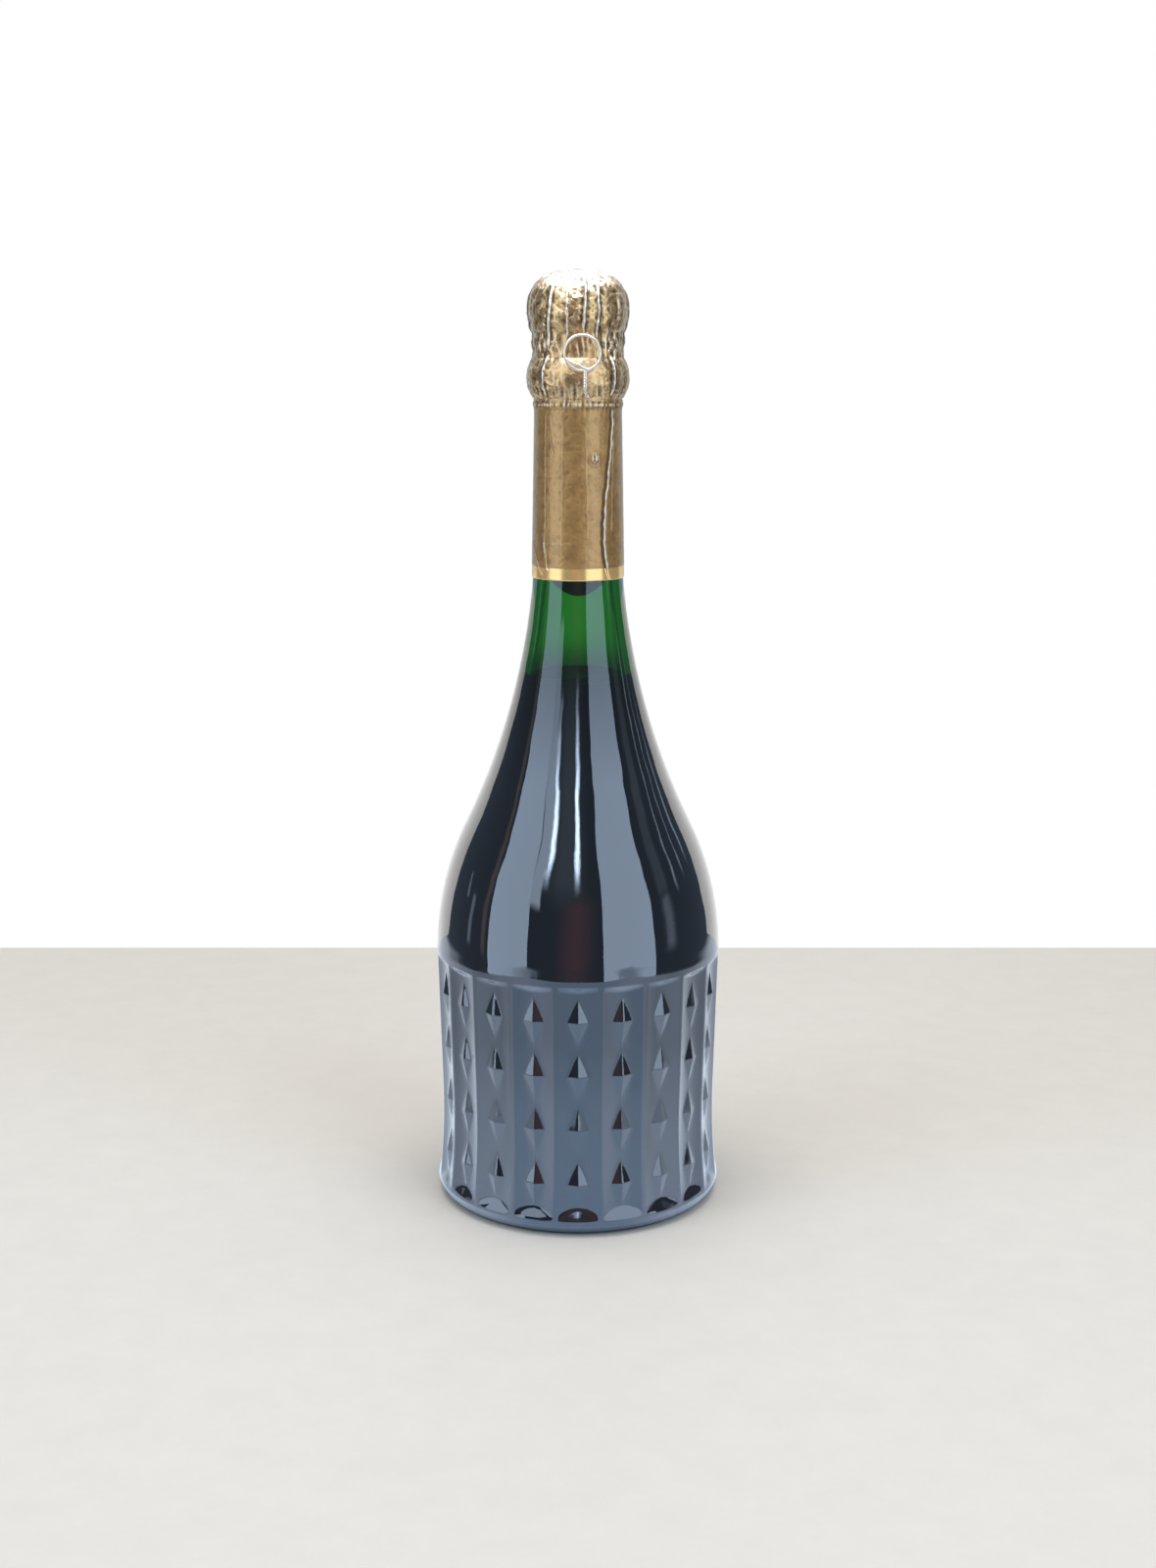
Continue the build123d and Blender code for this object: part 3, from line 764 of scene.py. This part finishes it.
def foil_surface(s, columns):
    """Rings of the whole foil's outside, its relief laid on square to the outline, the
    heights of the plain outline, and the crests."""
    outside = foil_outline(s)
    step = np.hypot(*np.diff(outside, axis=0).T)
    along = np.concatenate([[0], np.cumsum(step)])
    slope = np.gradient(outside, axis=0)
    slope /= np.hypot(*slope.T)[:, None]
    angle = full_turn(columns)[None]
    relief = foil_relief(s, angle, outside[:, 1:], along[:, None])
    relief = relief * smooth_step(outside[:, :1], 0, 5 * MM)
    radius = outside[:, :1] + relief * slope[:, 1:]
    height = outside[:, 1:] - relief * slope[:, :1]
    return polar_points(radius, angle, height), outside[:, 1], foil_crests(relief)


def foil_head(s, glass):
    """Foil over the stopper and the collar: the outside from the crimp to the crown, closed
    underneath by rings that go up the inside to the mouth."""
    points, height, crests = foil_surface(s, HEAD_COLUMNS)
    outer = points[height > s.neck_top]
    foot, shut = outer[0, :, 2].mean(), glass.mouth_height + s.clearance
    wall = glass.neck_top_radius + s.clearance * 2
    collar = glass.collar_radius + s.clearance
    inside = np.array([(0.3 * wall, shut), (wall, shut), (wall, s.waist_start),
                       (collar, glass.collar_height), (wall, foot + 1 * MM), (wall, foot)])
    inner = polar_points(inside[:, :1], full_turn(HEAD_COLUMNS), inside[:, 1:])
    poles = [(0, 0, shut), (0, 0, s.top)]
    piece = mesh_piece("gold_foil_head", *ring_shell(np.concatenate([inner, outer]), poles))
    paint_crests(piece, np.concatenate([0 * inner[..., 0], crests[height > s.neck_top]]))
    return piece


def foil_sleeve(s, glass):
    """Foil down the neck: the outside from the hem to the crimp, then the inside, a little
    off the glass, back down to the hem."""
    points, height, crests = foil_surface(s, SLEEVE_COLUMNS)
    outer = points[height < s.neck_top + s.crimp_length * 0.3]
    outline = Outline(glass)
    wall = np.vstack([outline.shoulder(0, 60), outline.neck(4)[:2]])
    heights = np.linspace(outer[-1, :, 2].mean(), s.hem, 12)
    radii = np.interp(heights, wall[:, 1], wall[:, 0]) + s.clearance
    inner = polar_points(radii[:, None], full_turn(SLEEVE_COLUMNS), heights[:, None])
    piece = mesh_piece("gold_foil_sleeve", *ring_shell(np.concatenate([outer, inner]), None))
    paint_crests(piece, crests[: len(outer)])
    return piece


def stopper_and_shade_piece(s, glass):
    """Dark stopper in the bore, reaching below the foil to a domed lower end that shows
    through the glass as a dark shape of painted shade under the foil: radius = full *
    sqrt(height over its tip / dome), then a straight side."""
    full = glass.bore_radius - s.clearance
    rise = s.stopper_shade_dome * np.linspace(0.02, 1, 24) ** 2
    dome = np.stack([full * np.sqrt(rise / s.stopper_shade_dome), s.stopper_shade_tip + rise], 1)
    side = line(dome[-1], (full, glass.mouth_height), 6)[1:]
    profile = np.vstack([dome, side])
    return turned_piece("dark_stopper_and_shade", profile, 64, s.stopper_shade_tip, glass.mouth_height)


# ---------------------------------------------------------------- the wire loop
def wire_piece(s, foil):
    """Wire loop: a slightly uneven ring, a second strand along its lower left, two strands
    that twist round each other down the stem, and a tail that goes into the foil."""
    depth, lean = foil.collar_radius + s.stand_off, np.radians(6)
    centre = np.array([s.loop_side, -depth + 0.55 * MM, s.loop_height])

    def round_loop(size, turn, forward):
        """Points of the leaning loop at a size and an angle, moved forward."""
        side, rise = size * np.cos(turn), size * np.sin(turn)
        return centre + np.stack([side, rise * np.sin(lean) - forward, rise], 1)

    turn = full_turn(96)
    ring = round_loop(s.loop_radius * (1 + 0.02 * np.cos(2 * turn + 0.6)), turn, 0)
    swing = np.sin(np.linspace(0, np.pi, 40))
    lower_left = np.radians(np.linspace(198, 292, 40))
    second = round_loop(s.loop_radius - 1.65 * MM * swing, lower_left, 0.35 * MM * swing)

    top = s.loop_height - s.loop_radius * np.cos(lean)
    along = np.linspace(0, 1, 90)
    into_foil = depth - foil.neck_radius - 0.5 * MM
    spine = np.stack([
        s.stem_side + 0.8 * MM * smooth_step(along, 0.7, 1.0),
        -depth + 0.2 * MM + into_foil * smooth_step(along, 0.55, 1.0),
        top - (top - s.stem_foot) * along,
    ], 1)
    twist = TAU * s.stem_turns * along
    apart = 0.42 * MM * (1 - 0.3 * along)
    tubes = [(tube_points(ring, s.wire / 2, 14, closed=True), True)]
    for start in (0, np.pi):
        side, forward = apart * np.cos(twist + start), apart * np.sin(twist + start)
        strand = spine + np.stack([side, forward, 0 * along], 1)
        tubes.append((tube_points(strand, s.wire / 2 * 0.96, 10), False))
    tubes.append((tube_points(second, s.wire / 2 * 0.95, 12), False))
    return joined_tubes("steel_wire_loop", tubes)


# ---------------------------------------------------------------- finishes
def fill(tree, node, sockets):
    """Fills a node's sockets, by name or number: another node's socket is linked to it, and
    any other value is set on it."""
    for key, value in sockets.items():
        if isinstance(value, bpy.types.NodeSocket):
            tree.links.new(value, node.inputs[key])
        else:
            node.inputs[key].default_value = value


def add(tree, kind, sockets=(), **settings):
    """Adds a shader node with its settings and sockets, and returns its outputs."""
    node = tree.nodes.new("ShaderNode" + kind)
    for name, value in settings.items():
        setattr(node, name, value)
    fill(tree, node, dict(sockets))
    return node.outputs


def new_material(name):
    """Empty material; returns it with its node tree and its Principled shader."""
    material = bpy.data.materials.new(name)
    material.use_nodes = True
    return material, material.node_tree, material.node_tree.nodes["Principled BSDF"]


def object_place(tree):
    """Object coordinates, together and then as X, Y and Z."""
    place = add(tree, "TexCoord")["Object"]
    return place, add(tree, "SeparateXYZ", {"Vector": place})


def noise(tree, place, scale, detail=3.0, roughness=0.55):
    """Noise at a place, as a grey and a colour."""
    return add(tree, "TexNoise", {
        "Vector": place, "Scale": scale, "Detail": detail, "Roughness": roughness,
    })


def ramp(tree, value, stops):
    """Colour ramp with (position, colour) stops."""
    node = tree.nodes.new("ShaderNodeValToRGB")
    fill(tree, node, {"Fac": value})
    points = node.color_ramp.elements
    while len(points) < len(stops):
        points.new(0.5)
    for point, (position, shade) in zip(points, stops):
        point.position = position
        point.color = (*shade, 1)
    return node.outputs["Color"]


def map_range(tree, value, low, high, to_low=0.0, to_high=1.0, kind="LINEAR"):
    """A value carried from one range to another, and held at its ends."""
    return add(tree, "MapRange", {
        "Value": value, "From Min": low, "From Max": high, "To Min": to_low, "To Max": to_high,
    }, interpolation_type=kind)["Result"]


def calculate(tree, operation, *values):
    """Result of an operation on sockets or plain numbers."""
    return add(tree, "Math", enumerate(values), operation=operation)["Value"]


def bump(tree, height, strength, distance, below=None):
    """Bump from a height, over an optional earlier bump."""
    sockets = {"Height": height, "Strength": strength, "Distance": distance}
    if below is not None:
        sockets["Normal"] = below
    return add(tree, "Bump", sockets)["Normal"]


def mix_colours(tree, share, first, second, way="MIX"):
    """Two colours mixed by a share of the second."""
    sockets = {"Factor": share, "A": first, "B": second}
    return add(tree, "Mix", sockets, data_type="RGBA", blend_type=way)["Result"]


def mix_shaders(tree, share, first, second):
    """Two shaders mixed by a share of the second."""
    return add(tree, "MixShader", {"Fac": share, 1: first, 2: second})["Shader"]


def glass_finish(colours, level):
    """Thick green bottle glass: clear, glossy, a little uneven, green through its depth. Just
    over the wine its colour is darkened: painted shade, standing for the thick wall's
    reflection of the dark wine below. Its extra gloss fades up the shoulder."""
    material, tree, shader = new_material("bottle_green_glass")
    place, parts = object_place(tree)
    tint = np.array(colours.glass_tint)
    # painted shade: the glass's colour darkened just over the wine, for the wall's reflection of
    # the wine
    over = map_range(tree, parts["Z"], level + 0.5 * MM, level + 14 * MM)
    shade = ramp(tree, over, [
        (0.0, tint * 0.42), (0.35, tint * 0.62), (0.7, tint * 0.90), (1.0, tint),
    ])
    swell = noise(tree, place, 55, 1)["Fac"]
    waves = noise(tree, place, 170, 0)["Fac"]
    uneven = bump(tree, waves, 0.06, 0.6 * MM, bump(tree, swell, 0.25, 0.7 * MM))
    fill(tree, shader, {
        "Base Color": shade, "Roughness": 0.02, "IOR": 1.52, "Transmission Weight": 1.0,
        "Specular IOR Level": 1.0, "Coat Roughness": 0.02, "Coat IOR": 1.9,
        "Coat Weight": map_range(tree, parts["Z"], 150 * MM, 195 * MM, 1.0, 0.30),
        "Normal": uneven, "Coat Normal": uneven,
    })
    depth = add(tree, "VolumeAbsorption", {"Color": (*colours.glass_depth, 1), "Density": 500})
    fill(tree, tree.nodes["Material Output"], {"Volume": depth["Volume"]})
    return material


def wine_finish(colours, level):
    """Dark wine seen through green glass: near black, and duller just under its top, where
    painted light makes it greener and lighter, for the light that the shallow wine lets
    through the glass.
    """
    material, tree, shader = new_material("dark_wine")
    height = object_place(tree)[1]["Z"]
    # painted light: greener and lighter just under the wine's top
    shade = ramp(tree, map_range(tree, height, level - 12 * MM, level), [
        (0.0, colours.wine), (0.6, (0.03, 0.06, 0.03)), (1.0, (0.07, 0.15, 0.06)),
    ])
    dull = map_range(tree, height, level - 2 * MM, level - 0.2 * MM, 0.08, 0.5)
    fill(tree, shader, {"Base Color": shade, "Roughness": dull, "IOR": 1.34})
    return material


def foil_finish(colours, neck_top):
    """Gold foil with a fine crinkle and dull brownish patches: satin down the sleeve, and
    rubbed brighter over the head. Hollows are darkened as painted shade, and crests are made
    pale, partly as wear and partly as a painted highlight."""
    material, tree, shader = new_material("crinkled_gold_foil")
    place, parts = object_place(tree)
    patches = noise(tree, place, 260, 4)["Fac"]

    def over_neck(low, high):
        """A value that goes from low on the sleeve to high on the head."""
        return map_range(tree, parts["Z"], neck_top, neck_top + 6 * MM, low, high)

    satin, bright = (
        ramp(tree, patches, [(0.35, gold * 0.84), (0.62, gold * 1.1)])
        for gold in (np.array(colours.foil), np.array(colours.head))
    )
    crest = add(tree, "Attribute", attribute_name="crest")["Fac"]
    # painted shade: the crumples' hollows darkened by how far they sink below the foil about them
    hollow = ramp(tree, map_range(tree, crest, -1.6, 1.6), [
        (0.0, (0.20, 0.17, 0.13)), (0.30, (0.72, 0.66, 0.56)), (0.50, (1, 1, 1)),
    ])
    gold = mix_colours(tree, over_neck(0, 1), satin, bright)
    crease_shaded = mix_colours(tree, 1.0, gold, hollow, "MULTIPLY")
    # crests made pale: partly wear, partly a painted highlight
    worn_and_highlit = mix_colours(tree, map_range(tree, crest, 0.5, 2.2), crease_shaded, (0.92, 0.84, 0.66, 1))
    grain = noise(tree, place, 1500, 5, 0.6)["Fac"]
    fill(tree, shader, {
        "Base Color": worn_and_highlit, "Metallic": over_neck(0.55, 0.85), "Coat Weight": 0.35,
        "Coat Roughness": 0.16, "Normal": bump(tree, grain, 0.35, 0.3 * MM),
        "Roughness": calculate(tree, "MULTIPLY_ADD", patches, 0.16, over_neck(0.27, 0.17)),
    })
    return material


def mottled_finish(name, scale, dark, light, metallic, roughness):
    """Finish of two shades in a fine mottle."""
    material, tree, shader = new_material(name)
    mottle = noise(tree, add(tree, "TexCoord")["Object"], scale)["Fac"]
    shade = ramp(tree, mottle, [(0.3, dark), (0.7, light)])
    fill(tree, shader, {"Base Color": shade, "Metallic": metallic, "Roughness": roughness})
    return material


def stopper_and_shade_finish():
    """Dull, nearly black stopper with a faint grain; its end shows as painted shade under the
    foil.
    """
    # nearly black, as painted shade seen through the neck under the foil
    dark, light = (0.030, 0.026, 0.030), (0.050, 0.044, 0.046)
    return mottled_finish("dark_stopper_and_shade", 900, dark, light, metallic=0, roughness=0.6)


def hem_finish(colours):
    """Smooth bright gold of the foil's lower band."""
    gold = np.array(colours.hem)
    return mottled_finish("bright_gold_hem", 500, gold * 0.93, gold, metallic=0.62, roughness=0.2)


def steel_finish(colours):
    """Bright drawn steel wire."""
    steel = np.array(colours.steel)
    return mottled_finish(
        "bright_steel_wire", 2200, steel * 0.8, steel, metallic=0.9, roughness=0.27
    )


# ---------------------------------------------------------------- the stage
# painted reflection that gloss sees on the table: share of a half turn from the front, and shade
TABLE_PAINTED_SHEEN = (
    (0.00, (0.56, 0.78, 1.12)), (0.12, (0.56, 0.78, 1.12)), (0.22, (0.77, 0.95, 1.30)),
    (0.34, (0.70, 0.85, 1.11)), (0.42, (0.54, 0.66, 0.87)), (0.60, (0.70, 0.82, 1.00)),
    (1.00, (0.92, 0.98, 1.05)),
)


def table_finish(colours, front, side):
    """Pale table top with a faint mottle. Gloss sees a painted cool sheen instead, by the angle
    round the bottle, with painted shadow under the base, brightest near it, and no further
    than front and side."""
    material, tree, shader = new_material("pale_table")
    place, parts = object_place(tree)
    mottle = noise(tree, place, 60, 6, 0.7)["Fac"]
    pale = np.array(colours.floor)
    shade = ramp(tree, mottle, [(0.3, pale * 0.975), (0.7, np.minimum(pale * 1.02, 1))])
    fill(tree, shader, {"Base Color": shade, "Roughness": 0.6, "Specular IOR Level": 0.2})

    far = add(tree, "VectorMath", {0: place}, operation="LENGTH")["Value"]
    # painted shadow under the base and painted light near it, seen in gloss only
    under = map_range(tree, far, 46.2 * MM, 51 * MM, 0.02)
    near = map_range(tree, far, 120 * MM, 210 * MM, 1.34, 0.96)
    toward = calculate(tree, "MULTIPLY", parts["Y"], -1.0)
    turn = calculate(tree, "ABSOLUTE", calculate(tree, "ARCTAN2", parts["X"], toward))
    glow = add(tree, "Emission", {
        "Color": ramp(tree, calculate(tree, "DIVIDE", turn, np.pi), TABLE_PAINTED_SHEEN),
        "Strength": calculate(tree, "MULTIPLY", under, near),
    })
    sideways = calculate(tree, "ABSOLUTE", parts["X"])
    ends = [map_range(tree, away, last - fade / 2, last + fade / 2, kind="SMOOTHSTEP")
            for away, last, fade in ((toward, front, 80 * MM), (sideways, side, 100 * MM))]
    clear = add(tree, "BsdfTransparent")["BSDF"]
    sheen = mix_shaders(tree, calculate(tree, "MAXIMUM", *ends), glow["Emission"], clear)
    gloss = add(tree, "LightPath")["Is Glossy Ray"]
    seen = mix_shaders(tree, gloss, shader.outputs["BSDF"], sheen)
    fill(tree, tree.nodes["Material Output"], {"Surface": seen})
    return material


def glow_finish(name, shade, strength, soft=0.0, ragged=0.0):
    """Light-emitting surface. soft is the part of its width over which its edges fade, by a
    smooth step of the distance from the middle, and ragged how far noise pushes them about."""
    material, tree, shader = new_material(name)
    tree.nodes.remove(shader)
    glow = add(tree, "Emission", {"Color": (*shade, 1), "Strength": strength})["Emission"]
    if soft:
        across = add(tree, "UVMap")["UV"]
        if ragged:
            rough = noise(tree, add(tree, "TexCoord")["Object"], 30, 6, 0.75)["Color"]
            pushed = add(tree, "VectorMath", {0: rough, 1: (ragged, 0, 0), 2: across},
                         operation="MULTIPLY_ADD")["Vector"]
            across = add(tree, "VectorMath", {0: pushed, 1: (ragged / 2, 0, 0)},
                         operation="SUBTRACT")["Vector"]
        parts = add(tree, "SeparateXYZ", {"Vector": across})
        shares = []
        for axis, fade in (("X", soft / 2), ("Y", soft / 4)):
            off = calculate(tree, "ABSOLUTE", calculate(tree, "SUBTRACT", parts[axis], 0.5))
            shares.append(map_range(tree, off, 0.5, 0.5 - fade, kind="SMOOTHSTEP"))
        clear = add(tree, "BsdfTransparent")["BSDF"]
        glow = mix_shaders(tree, calculate(tree, "MULTIPLY", *shares), clear, glow)
    fill(tree, tree.nodes["Material Output"], {"Surface": glow})
    return material


def oblong(name, corners, material):
    """A flat four-cornered stage piece."""
    mesh = bpy.data.meshes.new(name)
    mesh.from_pydata([tuple(c) for c in corners], [], [(0, 1, 2, 3)])
    layer = mesh.uv_layers.new(name="across")
    layer.data.foreach_set("uv", (0, 0, 1, 0, 1, 1, 0, 1))
    mesh.materials.append(material)
    piece = placed(name, mesh)
    return piece


def level_corners(left, right, near, far, height):
    """Corners of a level oblong."""
    return (left, near, height), (right, near, height), (right, far, height), (left, far, height)


def upright_corners(half, depth, low, high):
    """Corners of an upright oblong that faces the front."""
    return (-half, depth, low), (half, depth, low), (half, depth, high), (-half, depth, high)


def only_gloss(piece):
    """Leaves a stage piece to be seen in gloss only."""
    for ray in ("camera", "transmission", "diffuse", "shadow"):
        setattr(piece, f"visible_{ray}", False)


def round_bottle(azimuth, distance, height):
    """A point round the bottle; azimuth 0 is in front, and positive is to the right."""
    turn = np.radians(azimuth)
    return Vector((distance * np.sin(turn), -distance * np.cos(turn), height))


def area_lamp(name, width, height, power, shade=(1, 1, 1)):
    """Oblong lamp that neither the camera nor the glass's depth shows."""
    data = bpy.data.lights.new(name, "AREA")
    data.shape = "RECTANGLE"
    data.size, data.size_y = width, height
    data.color, data.energy = shade, power
    lamp = placed(name, data)
    lamp.visible_camera = False
    lamp.visible_transmission = False
    return lamp


COOL = (0.60, 0.765, 1.0)
WARM = (0.76, 0.66, 0.74)
MAROON = (1.0, 0.66, 0.86)

# softboxes: name, azimuth and spread in degrees
SOFTBOXES = (("left_softbox", -58.5, 35), ("right_softbox", 41.5, 43))


def softbox(name, azimuth, spread, low=-0.25, high=1.5, distance=1.2, radiance=2.15):
    """Area lamp that stands upright and faces the bottle. Its width fills the spread of
    azimuth, in degrees, and power = radiance * pi * area."""
    width, height = 2 * distance * np.tan(np.radians(spread / 2)), high - low
    lamp = area_lamp(name, width, height, radiance * np.pi * width * height, COOL)
    lamp.location = round_bottle(azimuth, distance, (low + high) / 2)
    lamp.rotation_euler = (np.radians(90), 0, np.radians(azimuth))


# lights that only gloss sees: azimuth at the foot and at the top in degrees, spread in
# degrees, low and high in m, distance in m, radiance, hue, softness, raggedness
GLINTS = (
    (-81, -81, 6, -0.2, 1.4, 1.2, 0.40, WARM, 0.5, 0),
    (78, 78, 16, 0.24, 1.3, 1.2, 0.34, COOL, 0.6, 0),
    (79, 79, 15, -0.1, 0.34, 1.2, 0.65, COOL, 0.9, 0.3),
    (95, 95, 3, 0.22, 1.2, 1.2, 1.1, COOL, 0.6, 0.5),
    (106, 105, 2.5, 0.24, 1.2, 1.2, 1.0, COOL, 0.6, 0.5),
    (117, 117, 2.5, 0.24, 1.2, 1.2, 1.1, COOL, 0.6, 0.5),
    (-3, 0, 38, -0.25, 0.58, 1.2, 0.26, MAROON, 0.95, 0.1),
    (-97, -97, 5, -0.1, 0.24, 1.2, 0.7, COOL, 0.6, 0),
    (-106, -106, 3, 0.14, 0.3, 1.2, 0.7, COOL, 0.6, 0),
    (-11, -11, 46, 0.38, 2.4, 1.5, 0.34, COOL, 0.9, 0),
    (-37, -33, 12, 0.34, 1.5, 1.22, 2.0, COOL, 0.25, 0),
    (-29, -20, 7, 0.48, 2.3, 1.1, 11.0, COOL, 0.9, 0.7),
    (-1, -0.5, 7.5, 0.46, 2.3, 1.1, 11.0, COOL, 0.9, 0.7),
)


def glint(number, foot, top, spread, low, high, distance, strength, hue, soft, ragged):
    """One of the lights that only gloss sees, from its row."""
    half = np.tan(np.radians(spread / 2)) * distance
    side = Vector((np.cos(np.radians(foot)), np.sin(np.radians(foot)), 0)) * half
    below, above = round_bottle(foot, distance, low), round_bottle(top, distance, high)
    light = glow_finish(f"glint_light_{number}", hue, strength, soft, ragged)
    corners = below - side, below + side, above + side, above - side
    only_gloss(oblong(f"glint_{number}", corners, light))


def set_camera(s):
    """Camera in front, looking a little down."""
    data = bpy.data.cameras.new("camera")
    data.sensor_fit = "AUTO"
    data.sensor_width = 36
    data.lens = s.camera_lens
    data.clip_start, data.clip_end = 0.01, 20
    camera = placed("camera", data)
    camera.location = (0, -s.camera_distance, s.camera_height)
    camera.rotation_euler = (np.pi / 2 - s.camera_pitch, 0, 0)
    bpy.context.scene.camera = camera
    bpy.context.scene.view_settings.view_transform = "Standard"


def set_table(s, colours):
    """Table top, and a white backdrop that gloss and the glass's depth show."""
    back = s.wall_distance
    oblong(
        "table_top", level_corners(-TABLE_REACH, TABLE_REACH, -TABLE_REACH, back, 0),
        table_finish(colours, s.table_front, s.table_side),
    )
    white = glow_finish("white_backdrop", (1, 1, 1), 1.0)
    corners = upright_corners(half=0.42, depth=back, low=0, high=1.2)
    backdrop = oblong("backdrop", corners, white)
    only_gloss(backdrop)
    backdrop.visible_transmission = True


def set_lamps():
    """Two softboxes, a lamp overhead, and the lights that only gloss sees. The crown has a
    light of its own over it, and a dusky card behind that keeps its outline."""
    for row in SOFTBOXES:
        softbox(*row)
    area_lamp("overhead", width=1.2, height=1.0, power=13).location = (0, -0.1, 1.5)
    for number, row in enumerate(GLINTS):
        glint(number, *row)
    only_gloss(oblong(
        "crown_light", level_corners(-0.05, 0.045, near=-0.054, far=0.022, height=0.335),
        glow_finish("crown_glow", (0.39, 0.58, 1.0), 11.0, soft=0.9, ragged=0.25),
    ))
    only_gloss(oblong(
        "crown_shade", upright_corners(half=0.16, depth=0.1, low=0.205, high=0.362),
        glow_finish("crown_dusk", (0.64, 0.83, 1.0), 0.75),
    ))


# what gloss, glass and the camera see of the world, where nothing stands before it
WORLD_SHADES = (
    ("Is Glossy Ray", (0.60, 0.76, 1.10), 0.165),
    ("Is Transmission Ray", (0.92, 0.96, 1.0), 0.42),
    ("Is Camera Ray", (1, 1, 1), 1.0),
)


def set_world():
    """Soft grey light from all round, with a shade of its own for each kind of ray."""
    world = bpy.data.worlds.new("studio")
    bpy.context.scene.world = world
    world.use_nodes = True
    tree = world.node_tree
    path = add(tree, "LightPath")
    grey = tree.nodes["Background"]
    fill(tree, grey, {"Color": (0.95, 0.97, 1.0, 1), "Strength": 0.30})
    light = grey.outputs["Background"]
    for ray, shade, strength in WORLD_SHADES:
        other = add(tree, "Background", {"Color": (*shade, 1), "Strength": strength})
        light = mix_shaders(tree, path[ray], light, other["Background"])
    fill(tree, tree.nodes["World Output"], {"Surface": light})


# ---------------------------------------------------------------- operators
def settle(piece, node, slot, *materials):
    """Gives a piece its materials and its body, and hides the CAD node it stands for. slot is not
    used.
    """
    for material in materials:
        piece.data.materials.append(material)
    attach(piece, BODY)
    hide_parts(node)


class SetStage(Operator):
    """Sets up the camera, table, backdrop, lamps and world"""
    bl_idname = "bottle.set_stage"
    bl_label = "Set stage"

    def execute(self, context):
        set_camera(context.scene.bottle_stage)
        set_table(context.scene.bottle_stage, context.scene.bottle_finish)
        set_lamps()
        set_world()
        return {"FINISHED"}


class CutGlass(Operator):
    """Makes the bottle's glass with its panels and diamonds"""
    bl_idname = "bottle.cut_glass"
    bl_label = "Cut glass"

    def execute(self, context):
        piece = glass_piece(context.scene.bottle_glass)
        level = context.scene.bottle_wine.level
        settle(piece, "bottle", "glass", glass_finish(context.scene.bottle_finish, level))
        return {"FINISHED"}


class PourWine(Operator):
    """Makes the wine that fills the glass up to its level"""
    bl_idname = "bottle.pour_wine"
    bl_label = "Pour wine"

    def execute(self, context):
        scene = context.scene
        piece = wine_piece(scene.bottle_glass, scene.bottle_wine)
        settle(piece, "wine", "wine", wine_finish(scene.bottle_finish, scene.bottle_wine.level))
        return {"FINISHED"}


class WrapFoil(Operator):
    """Wraps the crinkled foil over the stopper and down the neck"""
    bl_idname = "bottle.wrap_foil"
    bl_label = "Wrap foil"

    def execute(self, context):
        scene = context.scene
        sizes = scene.bottle_foil
        finish = foil_finish(scene.bottle_finish, sizes.neck_top)
        head = foil_head(sizes, scene.bottle_glass)
        settle(head, "capsule", "foil", finish)
        sleeve = foil_sleeve(sizes, scene.bottle_glass)
        settle(sleeve, "capsule", "foil", finish, hem_finish(scene.bottle_finish))
        paint_band(sleeve, sizes.hem + sizes.band)
        stopper = stopper_and_shade_piece(sizes, scene.bottle_glass)
        settle(stopper, "capsule", "foil", stopper_and_shade_finish())
        return {"FINISHED"}


class BendWire(Operator):
    """Bends the steel wire loop that hangs on the foil"""
    bl_idname = "bottle.bend_wire"
    bl_label = "Bend wire loop"

    def execute(self, context):
        scene = context.scene
        piece = wire_piece(scene.bottle_wire, scene.bottle_foil)
        settle(piece, "wire_loop", "wire", steel_finish(scene.bottle_finish))
        return {"FINISHED"}


class BottlePanel(Panel):
    """Lists the steps that make the bottle"""
    bl_idname = "VIEW3D_PT_bottle"
    bl_label = "Bottle"
    bl_space_type = "VIEW_3D"
    bl_region_type = "UI"
    bl_category = "Bottle"

    def draw(self, context):
        for operator in OPERATORS:
            self.layout.operator(operator.bl_idname)


OPERATORS = (SetStage, CutGlass, PourWine, WrapFoil, BendWire)


def register():
    """Adds the groups, operators and panel, and the groups' values to the scene."""
    for kind in (*GROUPS.values(), *OPERATORS, BottlePanel):
        bpy.utils.register_class(kind)
    for name, group in GROUPS.items():
        setattr(bpy.types.Scene, name, PointerProperty(type=group))


def unregister():
    """Takes away what register added."""
    for name in GROUPS:
        delattr(bpy.types.Scene, name)
    for kind in reversed((*GROUPS.values(), *OPERATORS, BottlePanel)):
        bpy.utils.unregister_class(kind)


def main():
    """Makes the bottle step by step."""
    register()
    for operator in OPERATORS:
        group, name = operator.bl_idname.split(".")
        getattr(getattr(bpy.ops, group), name)()


if __name__ == "__main__":
    main()
